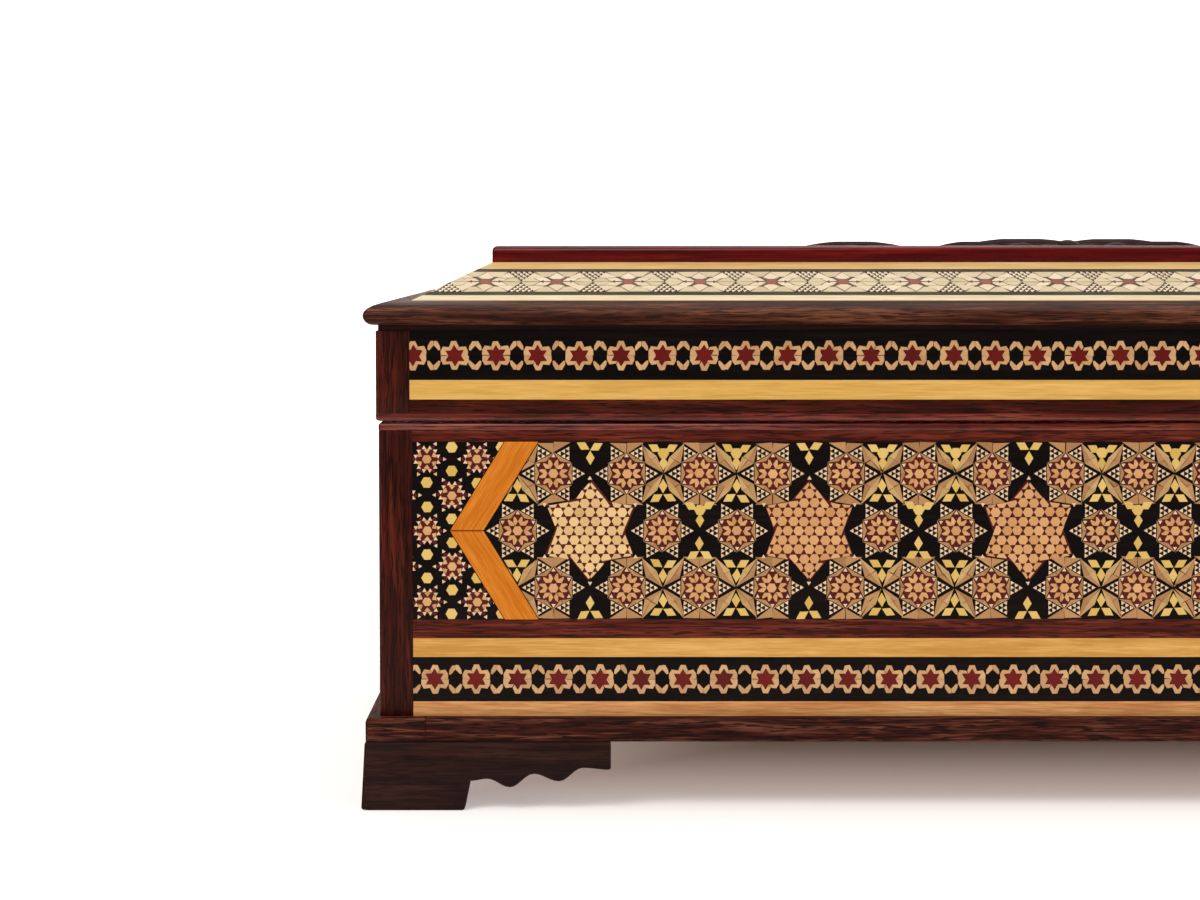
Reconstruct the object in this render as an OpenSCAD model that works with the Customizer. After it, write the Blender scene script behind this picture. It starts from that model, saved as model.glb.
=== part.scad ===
// Inlaid wooden box: plank walls between corner posts, faced with mosaic and strip
// veneers, on bracket feet, with a hip-roofed lid on two brass butt hinges.
// Origin on the floor under the middle of the box, X along its length,
// Y towards the hinged back, Z up. Millimetres.

/* [Overall size] */
// Length of the base over its corner posts
body_l = 304.8; // [240:0.2:400]
// Depth of the base over its corner posts
body_w = 196; // [150:1:260]

/* [Feet] */
// Height of the bracket feet
foot_h = 13.8; // [11:0.1:20]
// Length of each foot board from its outer corner
foot_l = 50.2; // [40:0.1:64]
// Length of the flat sole at the outer corner of a foot
foot_toe = 20.8; // [14:0.1:26]
// Thickness of the foot boards at their top
foot_t = 7.2; // [5:0.1:9]
// How far a foot stands out from the posts at its top
foot_out_top = 2.9; // [1:0.1:4]
// How far a foot stands out from the posts at the floor
foot_out_floor = 3.6; // [1:0.1:5]
// Leg of the triangular glue block inside each foot
block_leg = 14; // [8:0.5:20]
// Height of the glue block
block_h = 9; // [5:0.5:10]

/* [Base frame] */
// Thickness of the flat frame under the walls
frame_t = 4.8; // [3:0.1:8]
// Width of the frame strips
frame_w = 12; // [10:0.1:16]
// How far the frame stands out from the posts
frame_out = 2.7; // [0.5:0.1:4]
// Radius of the frame's eased upper edge
frame_ease = 0.9; // [0.3:0.1:2]

/* [Walls] */
// Thickness of the plank behind the veneers
core_t = 7; // [5:0.1:10]
// Thickness of the mosaic and strip veneers
veneer_t = 1.5; // [1:0.1:2]
// Width of a corner post on each face
post_face = 6.8; // [5:0.1:8]
// Radius of a post's outer arris
post_r = 0.6; // [0.2:0.1:1.5]
// Thickness of the bottom panel
bottom_t = 3; // [2:0.1:5]
// Height of the light strip along the foot of the walls
lower_strip_h = 3; // [2:0.1:6]
// Height of the chain band on the base
base_chain_h = 9; // [7:0.1:14]
// Height of the light strip above the chain band
upper_strip_h = 3.8; // [2:0.1:6]
// Height of the dark rail under the main mosaic
mid_rail_h = 3.8; // [2:0.1:6]
// Height of the main mosaic
mosaic_h = 35.8; // [28:0.1:44]
// Height of the rail above the main mosaic
top_rail_h = 2.35; // [1.5:0.05:6]
// Thickness of the lipping that closes the top of the walls
lip_t = 1.5; // [1.4:0.05:2.5]
// Radius of the lippings' outer arris
lip_r = 0.7; // [0.2:0.1:1]

/* [Main mosaic] */
// Spacing of the large stars
star_pitch = 44; // [38:0.5:56]
// From the last large star's centre to the tip of the chevron
field_end = 21.4; // [18:0.1:26]
// Width of the chevron strips, measured level
chevron_w = 6.7; // [4:0.1:9]
// How far the chevron's arms lean towards the middle of the panel
chevron_lean = 11; // [8:0.1:16]
// Least width of mosaic between a post and a chevron's tip
end_field_min = 4; // [2:0.1:8]

/* [Lid] */
// Gap between the lippings of the closed lid and the base
lid_gap = 0.3; // [0.3:0.05:0.6]
// How far the lid's faces stand out from the base's
lid_over = 0.5; // [0:0.1:2]
// Height of the rail along the lid's lower edge
lid_rail_h = 2.85; // [2.5:0.05:6]
// Height of the lid's light strip
lid_strip_h = 3.9; // [2:0.1:6]
// Height of the lid's chain band
lid_chain_h = 9.8; // [7:0.1:14]
// Height of the recessed fillet under the nosing
quirk_h = 1.2; // [0.6:0.1:2]
// Depth of that recess
quirk_in = 0.5; // [0.2:0.1:1]
// Height of the nosing
nosing_h = 4.8; // [4:0.1:8]
// How far the nosing stands out from the lid's faces
nosing_out = 2.4; // [1:0.1:4]
// Width of the nosing's flat top and its upper curve, inside the lid's faces
nosing_in = 6.4; // [5:0.1:8]

/* [Roof of the lid] */
// Level run of the slope
slope_run = 16.2; // [13:0.1:22]
// Rise of the slope
slope_rise = 7.8; // [6:0.1:12]
// Thickness of the slope's boards
slope_board_t = 3; // [2:0.1:4]
// Thickness of the slope's veneers
slope_veneer_t = 1.2; // [0.8:0.1:1.5]
// Width of the light strip along the slope's outer edge
slope_strip_w = 2.8; // [2:0.1:5]
// Width of the black line beside the outer strip
lower_line_w = 1.5; // [0.8:0.1:2]
// Width of the mosaic band on the slope
slope_band_w = 9.2; // [6:0.1:10]
// Width of the black line beside the inner strip
upper_line_w = 1.3; // [0.8:0.1:2]
// Width of the raised rim round the top field
rim_w = 7; // [5:0.1:12]
// Height of the rim above the slope
rim_h = 3.4; // [2:0.1:6]
// Radius of the rim's upper edges
rim_r = 1.1; // [0.3:0.1:1.5]
// Thickness of the board that carries the top field
top_board_t = 3; // [2:0.1:5]
// Thickness of the top field's veneers
top_veneer_t = 1.5; // [1:0.1:2]
// Width of the light border inside the rim
top_border_w = 4; // [2:0.1:8]

/* [Carved ornament] */
// Height of the two tall leaves
carving_h = 5; // [3:0.1:7]
// Height of the low leaves
low_leaf_h = 4.4; // [3:0.1:7]
// Length of a tall leaf
leaf_l = 36; // [28:0.5:48]
// Width of a tall leaf
leaf_w = 16; // [12:0.5:20]
// Distance of each row of leaves from the middle
leaf_row = 10.5; // [10:0.5:16]
// Gap between leaves that follow each other
leaf_gap = 1.5; // [0.5:0.1:4]
// Radius of the middle boss
boss_r = 4.4; // [3:0.1:4.5]

/* [Lining] */
// Thickness of the padded floor
floor_pad_t = 2; // [1:0.1:4]
// Thickness of the lined cards on the walls
lining_t = 1.2; // [0.8:0.1:2]
// Gap between the padded floor and the wall linings
pad_gap = 0.1; // [0.05:0.05:0.5]
// How far the linings stop short of the lippings' faces
lining_short = 3; // [2:0.1:8]

/* [Hinges] */
// Length of each hinge
hinge_l = 25; // [18:0.5:40]
// Distance of each hinge's middle from the middle of the box
hinge_x = 95; // [60:1:105]
// Depth of the hinge pivot inside the base's back face
pivot_in = 2.2; // [2:0.1:3]
// Radius of the hinge barrel
barrel_r = 1.2; // [1:0.05:1.2]
// Radius of the hinge pin
pin_r = 0.5; // [0.4:0.05:0.6]
// Radial clearance of the pin in the turning knuckle
pin_clear = 0.05; // [0.02:0.01:0.1]
// Clearance round a knuckle, and gap between neighbouring knuckles
knuckle_clear = 0.3; // [0.15:0.05:0.3]
// Width of a hinge leaf from the pivot
plate_w = 5.5; // [4.5:0.1:6.5]
// Thickness of a hinge leaf
plate_t = 0.9; // [0.7:0.05:1]
// Angle of the bevels that stop the open lid, each from the level
bevel = 51; // [46:0.5:56]
// Radius of the screw heads
screw_head_r = 1.25; // [1:0.05:1.4]
// Radius of the screw shanks
screw_r = 0.6; // [0.4:0.05:0.8]
// Length of the screws
screw_l = 7; // [5:0.5:9]

/* [Hidden] */

$fn = 48;
FRONT = 0;
RIGHT = 1;
BACK = 2;
LEFT = 3;
ALL_SIDES = [FRONT, RIGHT, BACK, LEFT];
// How far cutting bodies reach past what they cut
over = 1;
// Hairline at glued mitres, so that each strip stays a solid of its own
hairline = 0.02;
// Steps along a rounded edge and along one wave of the scallops
edge_steps = 6;
wave_steps = 6;

wall_t = core_t + veneer_t;
lid_wall_t = wall_t + lid_over;
lid_l = body_l + 2 * lid_over;
lid_w = body_w + 2 * lid_over;

// Levels of the base, from the floor up
z_wall = foot_h + frame_t;
z_base_chain = z_wall + lower_strip_h;
z_upper_strip = z_base_chain + base_chain_h;
z_mid_rail = z_upper_strip + upper_strip_h;
z_mosaic = z_mid_rail + mid_rail_h;
z_top_rail = z_mosaic + mosaic_h;
z_lip = z_top_rail + top_rail_h;
z_base_top = z_lip + lip_t;
z_pad = z_wall + bottom_t;

// Levels of the lid
z_lid = z_base_top + lid_gap;
z_lid_rail = z_lid + lip_t;
z_lid_strip = z_lid_rail + lid_rail_h;
z_lid_chain = z_lid_strip + lid_strip_h;
z_quirk = z_lid_chain + lid_chain_h;
z_nosing = z_quirk + quirk_h;
// The slope starts a hair under the nosing's flat top
nosing_step = 0.2;
z_slope = z_nosing + nosing_h - nosing_step;
z_field = z_slope + slope_rise;
z_board = z_field - top_veneer_t;
rim_in = nosing_in + slope_run;
field_in = rim_in + rim_w;
slope = atan2(slope_rise, slope_run);

// Hinge pivot
pivot_y = body_w / 2 - pivot_in;
pivot_z = z_base_top + lid_gap / 2;
knuckle_pitch = hinge_l / 3;
knuckle_l = knuckle_pitch - knuckle_clear;
screw_y = -3.3;
screw_xs = [-8.4, 0, 8.4] * hinge_l / 25;
// Turns each barrel's seam clear of the flat faces it meets
seam = 35;

// Waves of a foot's scalloped edge: share of the way from toe to tip, and height
toe_rise = 1.2;
scallops = [
    [0, 5.9], [0.12, 6.3], [0.28, 4.6], [0.45, 7.3], [0.63, 5.8], [0.8, 8.5], [1, 8.1]
];

// Points of an ellipse's arc
function arc(x, z, rx, rz, from, to) = [
    for (i = [0 : edge_steps])
    let (a = from + (to - from) * i / edge_steps)
    [x + rx * cos(a), z + rz * sin(a)]
];

// Length of a side, and how far its outer face lies from the middle
function run_of(i, l, w) = i % 2 == 0 ? l : w;
function out_of(i, l, w) = (i % 2 == 0 ? w : l) / 2;

// A point of the slope's section: s up the slope, t below its surface
function on_slope(s, t) = [
    nosing_in + s * cos(slope) + t * sin(slope),
    z_slope + s * sin(slope) - t * cos(slope)
];
// How far up the slope its plumb-cut upper end lies, t below the surface
function slope_end(t) = (slope_run - t * sin(slope)) / cos(slope);

// Large stars that fit a panel, and where the chevron's outer tip then lies
function panel_run(i) = run_of(i, body_l, body_w) - 2 * post_face;
function stars_of(i) =
    1 + floor((panel_run(i) - 2 * (field_end + chevron_w + end_field_min)) / star_pitch);
function tip_of(i) =
    panel_run(i) / 2 - (stars_of(i) - 1) * star_pitch / 2 - field_end - chevron_w;

// Puts a piece on a side: x along it, y inwards from its outer face
module on_side(i, l, w) {
    rotate([0, 0, 90 * i])
        translate([0, -out_of(i, l, w), 0])
            children();
}

// A straight strip between two pieces that each take inset at its ends
module strip(i, l, w, inset, depth, t, z, h) {
    run = run_of(i, l, w) - 2 * inset;
    on_side(i, l, w)
        translate([-run / 2, depth, z])
            cube([run, t, h]);
}

// A moulding along one side with mitred ends; its section is in [inwards, up]
module mitred(i, l, w, section) {
    half = (run_of(i, l, w) - hairline) / 2;
    deep = [for (p = section) p[0]];
    high = [for (p = section) p[1]];
    d0 = min(deep) - over;
    d1 = max(deep) + over;
    on_side(i, l, w)
        intersection() {
            translate([-half + d0 - over, 0, 0])
                rotate([90, 0, 90])
                    linear_extrude(2 * (half - d0 + over))
                        polygon(section);
            translate([0, 0, min(high) - over])
                linear_extrude(max(high) - min(high) + 2 * over)
                    polygon([
                        [-half + d0, d0], [half - d0, d0], [half - d1, d1], [-half + d1, d1]
                    ]);
        }
}

module mitred_ring(l, w, section) {
    for (i = ALL_SIDES)
        mitred(i, l, w, section);
}

// Section of a board or ring that is square all round
function block_section(d0, d1, z0, z1) = [[d0, z0], [d1, z0], [d1, z1], [d0, z1]];

// The open lid stops where these two bevels meet, so each half is cut back from the pivot
module hinge_bevel(up) {
    reach = 9;
    far = body_l / 2 + lid_over + over;
    translate([-far, pivot_y, pivot_z])
        mirror([0, 0, up ? 0 : 1])
            rotate([90, 0, 90])
                linear_extrude(2 * far)
                    polygon([
                        [0, -over], [0, 0], [reach * cos(bevel), reach * sin(bevel)],
                        [reach + over, reach * sin(bevel)], [reach + over, -over]
                    ]);
}

// Places its children at both hinges, right way up for the base or turned over for the lid
module at_hinges(up) {
    for (x = [-hinge_x, hinge_x])
        translate([x, pivot_y, pivot_z])
            mirror([0, 0, up ? 1 : 0])
                children();
}

module barrel(x, length, r) {
    translate([x - length / 2, 0, 0])
        rotate([0, 90, 0])
            rotate([0, 0, seam])
                cylinder(r = r, h = length);
}

// Room in the wood for one leaf, the barrel and the screw shanks
module hinge_room(up) {
    at_hinges(up) {
        translate([-hinge_l / 2, -plate_w, -lid_gap / 2 - plate_t])
            cube([hinge_l, plate_w, plate_t + over]);
        barrel(0, hinge_l + 2 * knuckle_clear, barrel_r + knuckle_clear);
        screw_bodies(0);
    }
}

// Countersunk screws, or their bores with some clearance
module screw_bodies(clear) {
    cone = screw_head_r - screw_r;
    for (x = screw_xs)
        translate([x, screw_y, -lid_gap / 2]) {
            translate([0, 0, -screw_l])
                cylinder(r = screw_r + clear, h = screw_l);
            translate([0, 0, -cone])
                cylinder(r1 = screw_r + clear, r2 = screw_head_r + clear, h = cone);
        }
}

module base_post(i) {
    difference() {
        post(i, body_l, body_w, wall_t, z_wall, z_lip);
        hinge_bevel(false);
    }
}

// A corner post at the left end of side i, rebated for the veneers of both faces
module post(i, l, w, size, z0, z1) {
    h = z1 - z0;
    rebate = size - post_face + over;
    on_side(i, l, w)
        translate([-run_of(i, l, w) / 2, 0, z0])
            difference() {
                cube([size, size, h]);
                translate([post_face, -over, -over])
                    cube([rebate, veneer_t + over, h + 2 * over]);
                translate([-over, post_face, -over])
                    cube([veneer_t + over, rebate, h + 2 * over]);
                difference() {
                    translate([-over, -over, -over])
                        cube([post_r + over, post_r + over, h + 2 * over]);
                    translate([post_r, post_r, -2 * over])
                        cylinder(r = post_r, h = h + 4 * over);
                }
            }
}

// One board of a bracket foot, at the left or the right end of side i
module foot_board(i, right) {
    x0 = -foot_out_floor;
    toe = foot_toe + toe_rise;
    waves = [
        for (k = [0 : len(scallops) - 2], j = [0 : wave_steps - 1])
        let (a = scallops[k], b = scallops[k + 1], t = j / wave_steps,
             e = (1 - cos(180 * t)) / 2)
        [x0 + toe + (foot_l - toe) * (a[0] + (b[0] - a[0]) * t), a[1] + (b[1] - a[1]) * e]
    ];
    outline = concat(
        [[x0 - over, 0], [x0 + foot_toe, 0]],
        waves,
        [[x0 + foot_l, scallops[len(scallops) - 1][1]], [x0 + foot_l, foot_h],
         [x0 - over, foot_h]]
    );
    inner = foot_t - foot_out_top;
    on_side(i, body_l, body_w)
        mirror([right ? 1 : 0, 0, 0])
            translate([-run_of(i, body_l, body_w) / 2, 0, 0])
                intersection() {
                    translate([0, inner + over, 0])
                        rotate([90, 0, 0])
                            linear_extrude(inner + foot_out_floor + 2 * over)
                                polygon(outline);
                    translate([x0 - 2 * over, 0, 0])
                        rotate([90, 0, 90])
                            linear_extrude(foot_l + 4 * over)
                                polygon([
                                    [-foot_out_floor, -over], [-foot_out_floor, 0],
                                    [-foot_out_top, foot_h], [-foot_out_top, foot_h + over],
                                    [inner, foot_h + over], [inner, -over]
                                ]);
                    translate([0, 0, -over])
                        linear_extrude(foot_h + 2 * over)
                            polygon([
                                [x0 - over + hairline, x0 - over], [foot_l, x0 - over],
                                [foot_l, inner + over], [inner + over + hairline, inner + over]
                            ]);
                }
}

// A foot at the left end of side i, of two boards mitred at the corner
module foot(i) {
    color("#2b1614") {
        foot_board(i, false);
        foot_board((i + 3) % 4, true);
    }
}

module foot_blocks() {
    corner = foot_t - foot_out_top;
    color("#8a6238")
        for (i = ALL_SIDES)
            on_side(i, body_l, body_w)
                translate([corner - run_of(i, body_l, body_w) / 2, corner, foot_h - block_h])
                    linear_extrude(block_h)
                        polygon([[0, 0], [block_leg, 0], [0, block_leg]]);
}

// Section of a base frame strip, with its upper outer edge eased
frame_section = concat(
    [[frame_w - frame_out, foot_h], [frame_w - frame_out, z_wall]],
    arc(frame_ease - frame_out, z_wall - frame_ease, frame_ease, frame_ease, 90, 180),
    [[-frame_out, foot_h]]
);

// A frame strip that runs past the posts of side i, or short of them where beyond is negative
module base_frame(i, beyond) {
    run = run_of(i, body_l, body_w) + 2 * beyond;
    color("#4a2620")
        on_side(i, body_l, body_w)
            translate([-run / 2, 0, 0])
                rotate([90, 0, 90])
                    linear_extrude(run)
                        polygon(frame_section);
}

// The front and back strips lie between the side strips
frame_short = frame_out - frame_w;

module bottom_panel() {
    color("#7a5230")
        translate([wall_t - body_l / 2, wall_t - body_w / 2, z_wall])
            cube([body_l - 2 * wall_t, body_w - 2 * wall_t, bottom_t]);
}

module wall(i) {
    color("#8a5a34")
        difference() {
            strip(i, body_l, body_w, wall_t, veneer_t, core_t, z_wall, z_lip - z_wall);
            if (i == BACK)
                hinge_room(false);
        }
}

// A veneer on side i, drawn in [along the panel, up from the mosaic's lower edge]
module panel_piece(i) {
    on_side(i, body_l, body_w)
        translate([0, veneer_t, z_mosaic])
            rotate([90, 0, 0])
                linear_extrude(veneer_t)
                    children();
}

module mosaic(i) {
    side = panel_run(i) / 2 - tip_of(i) - chevron_w;
    edge = side - chevron_lean;
    color("#1c120c")
        panel_piece(i)
            polygon([
                [-edge, 0], [edge, 0], [side, mosaic_h / 2], [edge, mosaic_h],
                [-edge, mosaic_h], [-side, mosaic_h / 2]
            ]);
}

module end_mosaics() {
    color("#241810")
        for (i = ALL_SIDES, hand = [0, 1])
            panel_piece(i)
                mirror([hand, 0])
                    translate([-panel_run(i) / 2, 0])
                        polygon([
                            [0, 0], [tip_of(i) + chevron_lean, 0], [tip_of(i), mosaic_h / 2],
                            [tip_of(i) + chevron_lean, mosaic_h], [0, mosaic_h]
                        ]);
}

// Each chevron is two leaning strips, mitred at the tip
module chevron_strips() {
    color("#d9781e")
        for (i = ALL_SIDES, hand = [0, 1], arm = [0, 1])
            panel_piece(i)
                mirror([hand, 0])
                    translate([tip_of(i) - panel_run(i) / 2, mosaic_h / 2])
                        mirror([0, arm])
                            intersection() {
                                polygon([
                                    [0, 0], [chevron_w, 0],
                                    [chevron_w + chevron_lean, mosaic_h / 2],
                                    [chevron_lean, mosaic_h / 2]
                                ]);
                                translate([0, hairline / 2])
                                    square([chevron_w + chevron_lean, mosaic_h / 2]);
                            }
}

// Veneer strips on the four faces of the base, between the posts
module base_strips(z, h) {
    for (i = ALL_SIDES)
        strip(i, body_l, body_w, post_face, 0, veneer_t, z, h);
}

module base_top_rails() {
    color("#6b2a1c")
        difference() {
            base_strips(z_top_rail, top_rail_h);
            hinge_bevel(false);
        }
}

module base_mid_rails() {
    color("#4a2418")
        base_strips(z_mid_rail, mid_rail_h);
}

module base_upper_strips() {
    color("#d9a94f")
        base_strips(z_upper_strip, upper_strip_h);
}

module base_chain_bands() {
    color("#0d0806")
        base_strips(z_base_chain, base_chain_h);
}

module base_lower_strips() {
    color("#cf9a5a")
        base_strips(z_wall, lower_strip_h);
}

// The lippings carry the hinges, let in flush
module base_lip() {
    color("#5a2a1e")
        difference() {
            mitred_ring(body_l, body_w, concat(
                [[wall_t, z_lip], [wall_t, z_base_top]],
                arc(lip_r, z_base_top - lip_r, lip_r, lip_r, 90, 180),
                [[0, z_lip]]
            ));
            hinge_bevel(false);
            hinge_room(false);
        }
}

module floor_pad() {
    inset = wall_t + lining_t + pad_gap;
    color("#7a1420")
        translate([inset - body_l / 2, inset - body_w / 2, z_pad])
            cube([body_l - 2 * inset, body_w - 2 * inset, floor_pad_t]);
}

// Lined cards inside the walls; the two short ones stand between the long ones
module lining_cards(z, h) {
    for (i = ALL_SIDES)
        strip(i, body_l, body_w, wall_t + (i % 2) * (lining_t + hairline), wall_t, lining_t,
              z, h);
}

module wall_linings() {
    color("#7a1420")
        lining_cards(z_pad, z_base_top - lining_short - z_pad);
}

// One leaf of both hinges: its knuckles, and notches for the other leaf's, as [place, length]
module hinge_leaves(up, knuckles, notches, bore) {
    color("#c79a45")
        at_hinges(up)
            difference() {
                union() {
                    translate([-hinge_l / 2, -plate_w, -lid_gap / 2 - plate_t])
                        cube([hinge_l, plate_w, plate_t]);
                    for (x = knuckles)
                        barrel(x, knuckle_l, barrel_r);
                }
                for (n = notches)
                    barrel(n[0], n[1], barrel_r + knuckle_clear);
                for (x = knuckles)
                    barrel(x, knuckle_pitch + knuckle_clear, bore);
                screw_bodies(0);
            }
}

module hinge_base_leaves() {
    hinge_leaves(false, [-knuckle_pitch, knuckle_pitch], [[0, knuckle_pitch]], pin_r);
}

module hinge_lid_leaves() {
    end_x = knuckle_pitch + over / 2;
    end_l = knuckle_pitch + over;
    hinge_leaves(true, [0], [[-end_x, end_l], [end_x, end_l]], pin_r + pin_clear);
}

module hinge_pins() {
    color("#b58a3c")
        at_hinges(false)
            barrel(0, hinge_l, pin_r);
}

// Slotted countersunk screws
module hinge_screws(up) {
    slot_w = 0.35;
    slot_h = 0.3;
    color("#b08a40")
        at_hinges(up)
            difference() {
                screw_bodies(0);
                for (x = screw_xs)
                    translate([x - slot_w / 2, screw_y - screw_head_r - over,
                               -lid_gap / 2 - slot_h])
                        cube([slot_w, 2 * (screw_head_r + over), slot_h + over]);
            }
}

module lid_wall(i) {
    color("#8a5a34")
        difference() {
            strip(i, lid_l, lid_w, lid_wall_t, veneer_t, lid_wall_t - veneer_t, z_lid_rail,
                  z_quirk - z_lid_rail);
            if (i == BACK) {
                hinge_bevel(true);
                hinge_room(true);
            }
        }
}

module lid_posts() {
    color("#4a2418")
        difference() {
            for (i = ALL_SIDES)
                post(i, lid_l, lid_w, lid_wall_t, z_lid_rail, z_quirk);
            hinge_bevel(true);
        }
}

module lid_lip() {
    color("#5a2a1e")
        difference() {
            mitred_ring(lid_l, lid_w, concat(
                [[lid_wall_t, z_lid_rail], [0, z_lid_rail]],
                arc(lip_r, z_lid + lip_r, lip_r, lip_r, 180, 270),
                [[lid_wall_t, z_lid]]
            ));
            hinge_bevel(true);
            hinge_room(true);
        }
}

module lid_strips(z, h) {
    for (i = ALL_SIDES)
        strip(i, lid_l, lid_w, post_face, 0, veneer_t, z, h);
}

module lid_bottom_rails() {
    color("#4a2418")
        difference() {
            lid_strips(z_lid_rail, lid_rail_h);
            hinge_bevel(true);
        }
}

module lid_light_strips() {
    color("#d9a94f")
        lid_strips(z_lid_strip, lid_strip_h);
}

module lid_chain_bands() {
    color("#0d0806")
        lid_strips(z_lid_chain, lid_chain_h);
}

module lid_quirk() {
    color("#2a140e")
        mitred_ring(lid_l, lid_w, block_section(quirk_in, lid_wall_t, z_quirk, z_nosing));
}

// The nosing's front is a quick curve below and a long one above
module lid_nosing() {
    under = 2;
    lead = nosing_step + 1.4;
    foot = slope_board_t + slope_veneer_t;
    heel = (z_slope - z_nosing) / cos(slope);
    color("#4a281c")
        mitred_ring(lid_l, lid_w, concat(
            [on_slope(0, heel)],
            arc(under - nosing_out, z_nosing + under, under, under, 270, 180),
            arc(nosing_in - lead, z_nosing + under, nosing_in - lead + nosing_out,
                nosing_h - under, 180, 90),
            [[nosing_in, z_nosing + nosing_h], [nosing_in, z_slope], on_slope(0, foot)]
        ));
}

// A strip of the slope's section from s0 to s1, and from t0 to t1 below the surface
function slope_section(s0, s1, t0, t1) =
    [on_slope(s0, t0), on_slope(s1, t0), on_slope(s1, t1), on_slope(s0, t1)];

// The same, running up to the plumb cut at the rim
function slope_end_section(s0, t0, t1) =
    [on_slope(s0, t0), on_slope(slope_end(t0), t0), on_slope(slope_end(t1), t1),
     on_slope(s0, t1)];

module slope_boards() {
    color("#8a5a34")
        mitred_ring(lid_l, lid_w, slope_end_section(
            0, slope_veneer_t, slope_veneer_t + slope_board_t));
}

module slope_outer_strips() {
    color("#f0dfa8")
        mitred_ring(lid_l, lid_w, slope_section(0, slope_strip_w, 0, slope_veneer_t));
}

s_band = slope_strip_w + lower_line_w;
s_upper_line = s_band + slope_band_w;
s_inner_strip = s_upper_line + upper_line_w;

module slope_black_lines() {
    color("#14100c") {
        mitred_ring(lid_l, lid_w, slope_section(slope_strip_w, s_band, 0, slope_veneer_t));
        mitred_ring(lid_l, lid_w,
                    slope_section(s_upper_line, s_inner_strip, 0, slope_veneer_t));
    }
}

module slope_mosaic_bands() {
    color("#e8dcc0")
        mitred_ring(lid_l, lid_w, slope_section(s_band, s_upper_line, 0, slope_veneer_t));
}

module slope_inner_strips() {
    color("#e8c77a")
        mitred_ring(lid_l, lid_w, slope_end_section(s_inner_strip, 0, slope_veneer_t));
}

module rim() {
    z_top = z_field + rim_h;
    color("#6e1410")
        mitred_ring(lid_l, lid_w, concat(
            [[rim_in, z_board]],
            [[field_in, z_board]],
            arc(field_in - rim_r, z_top - rim_r, rim_r, rim_r, 0, 90),
            arc(rim_in + rim_r, z_top - rim_r, rim_r, rim_r, 90, 180)
        ));
}

module top_board() {
    color("#8a5a34")
        translate([rim_in - lid_l / 2, rim_in - lid_w / 2, z_board - top_board_t])
            cube([lid_l - 2 * rim_in, lid_w - 2 * rim_in, top_board_t]);
}

module top_border_strips() {
    color("#e0b060")
        mitred_ring(lid_l, lid_w, block_section(
            field_in, field_in + top_border_w, z_board, z_field));
}

module top_mosaic() {
    in = field_in + top_border_w;
    color("#1c120c")
        translate([in - lid_l / 2, in - lid_w / 2, z_board])
            cube([lid_l - 2 * in, lid_w - 2 * in, top_veneer_t]);
}

// A leaf lying along X: a pointed oval with a rounded back
module carved_leaf(length, width, height) {
    side_r = (pow(length, 2) + pow(width, 2)) / (4 * width);
    back_r = (pow(width / 2, 2) + pow(height, 2)) / (2 * height);
    intersection() {
        translate([0, side_r - width / 2, 0])
            cylinder(r = side_r, h = height + over);
        translate([0, width / 2 - side_r, 0])
            cylinder(r = side_r, h = height + over);
        translate([-length, 0, height - back_r])
            rotate([0, 90, 0])
                cylinder(r = back_r, h = 2 * length);
    }
}

// Three leaves and the same three turned end for end, round a boss
module carved_ornament() {
    outer_l = leaf_l * 0.92;
    short_l = leaf_l * 0.7;
    tall_x = -leaf_l / 3;
    short_x = tall_x + leaf_l / 2 + leaf_gap + short_l / 2;
    outer_x = tall_x - leaf_l / 2 - 2 * leaf_gap - outer_l / 2;
    color("#2a1210")
        translate([0, 0, z_field]) {
            for (turn = [0, 180])
                rotate([0, 0, turn]) {
                    translate([tall_x, -leaf_row, 0])
                        carved_leaf(leaf_l, leaf_w, carving_h);
                    translate([short_x, -leaf_row, 0])
                        carved_leaf(short_l, leaf_w * 0.7, low_leaf_h);
                    translate([outer_x, 0, 0])
                        carved_leaf(outer_l, leaf_w * 0.9, low_leaf_h);
                }
            intersection() {
                cylinder(r = boss_r, h = carving_h);
                translate([0, 0, carving_h - boss_r * 1.6])
                    sphere(r = boss_r * 1.6);
            }
        }
}

module lid_ceiling() {
    color("#7a1420")
        translate([lid_wall_t - lid_l / 2, lid_wall_t - lid_w / 2, z_quirk])
            cube([lid_l - 2 * lid_wall_t, lid_w - 2 * lid_wall_t, quirk_h]);
}

module lid_wall_linings() {
    z = z_lid + lining_short;
    color("#7a1420")
        lining_cards(z, z_quirk - z);
}

foot(FRONT);  // foot_front_left
foot(RIGHT);  // foot_front_right
foot(BACK);  // foot_back_right
foot(LEFT);  // foot_back_left
foot_blocks();
base_frame(FRONT, frame_short);  // base_frame_front
base_frame(RIGHT, frame_out);  // base_frame_right
base_frame(BACK, frame_short);  // base_frame_back
base_frame(LEFT, frame_out);  // base_frame_left
bottom_panel();
wall(FRONT);  // wall_front
wall(RIGHT);  // wall_right
wall(BACK);  // wall_back
wall(LEFT);  // wall_left
color("#4a2418") base_post(FRONT);  // post_front_left
color("#4a2418") base_post(RIGHT);  // post_front_right
color("#4a2418") base_post(BACK);  // post_back_right
color("#4a2418") base_post(LEFT);  // post_back_left
mosaic(FRONT);  // mosaic_front
mosaic(RIGHT);  // mosaic_right
mosaic(BACK);  // mosaic_back
mosaic(LEFT);  // mosaic_left
end_mosaics();
chevron_strips();
base_top_rails();
base_mid_rails();
base_upper_strips();
base_chain_bands();
base_lower_strips();
base_lip();
floor_pad();
wall_linings();
hinge_base_leaves();
hinge_pins();
hinge_screws(false);  // hinge_base_screws
lid_wall(FRONT);  // lid_wall_front
lid_wall(RIGHT);  // lid_wall_right
lid_wall(BACK);  // lid_wall_back
lid_wall(LEFT);  // lid_wall_left
lid_posts();
lid_lip();
lid_bottom_rails();
lid_light_strips();
lid_chain_bands();
lid_quirk();
lid_nosing();
slope_boards();
slope_outer_strips();
slope_black_lines();
slope_mosaic_bands();
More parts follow.
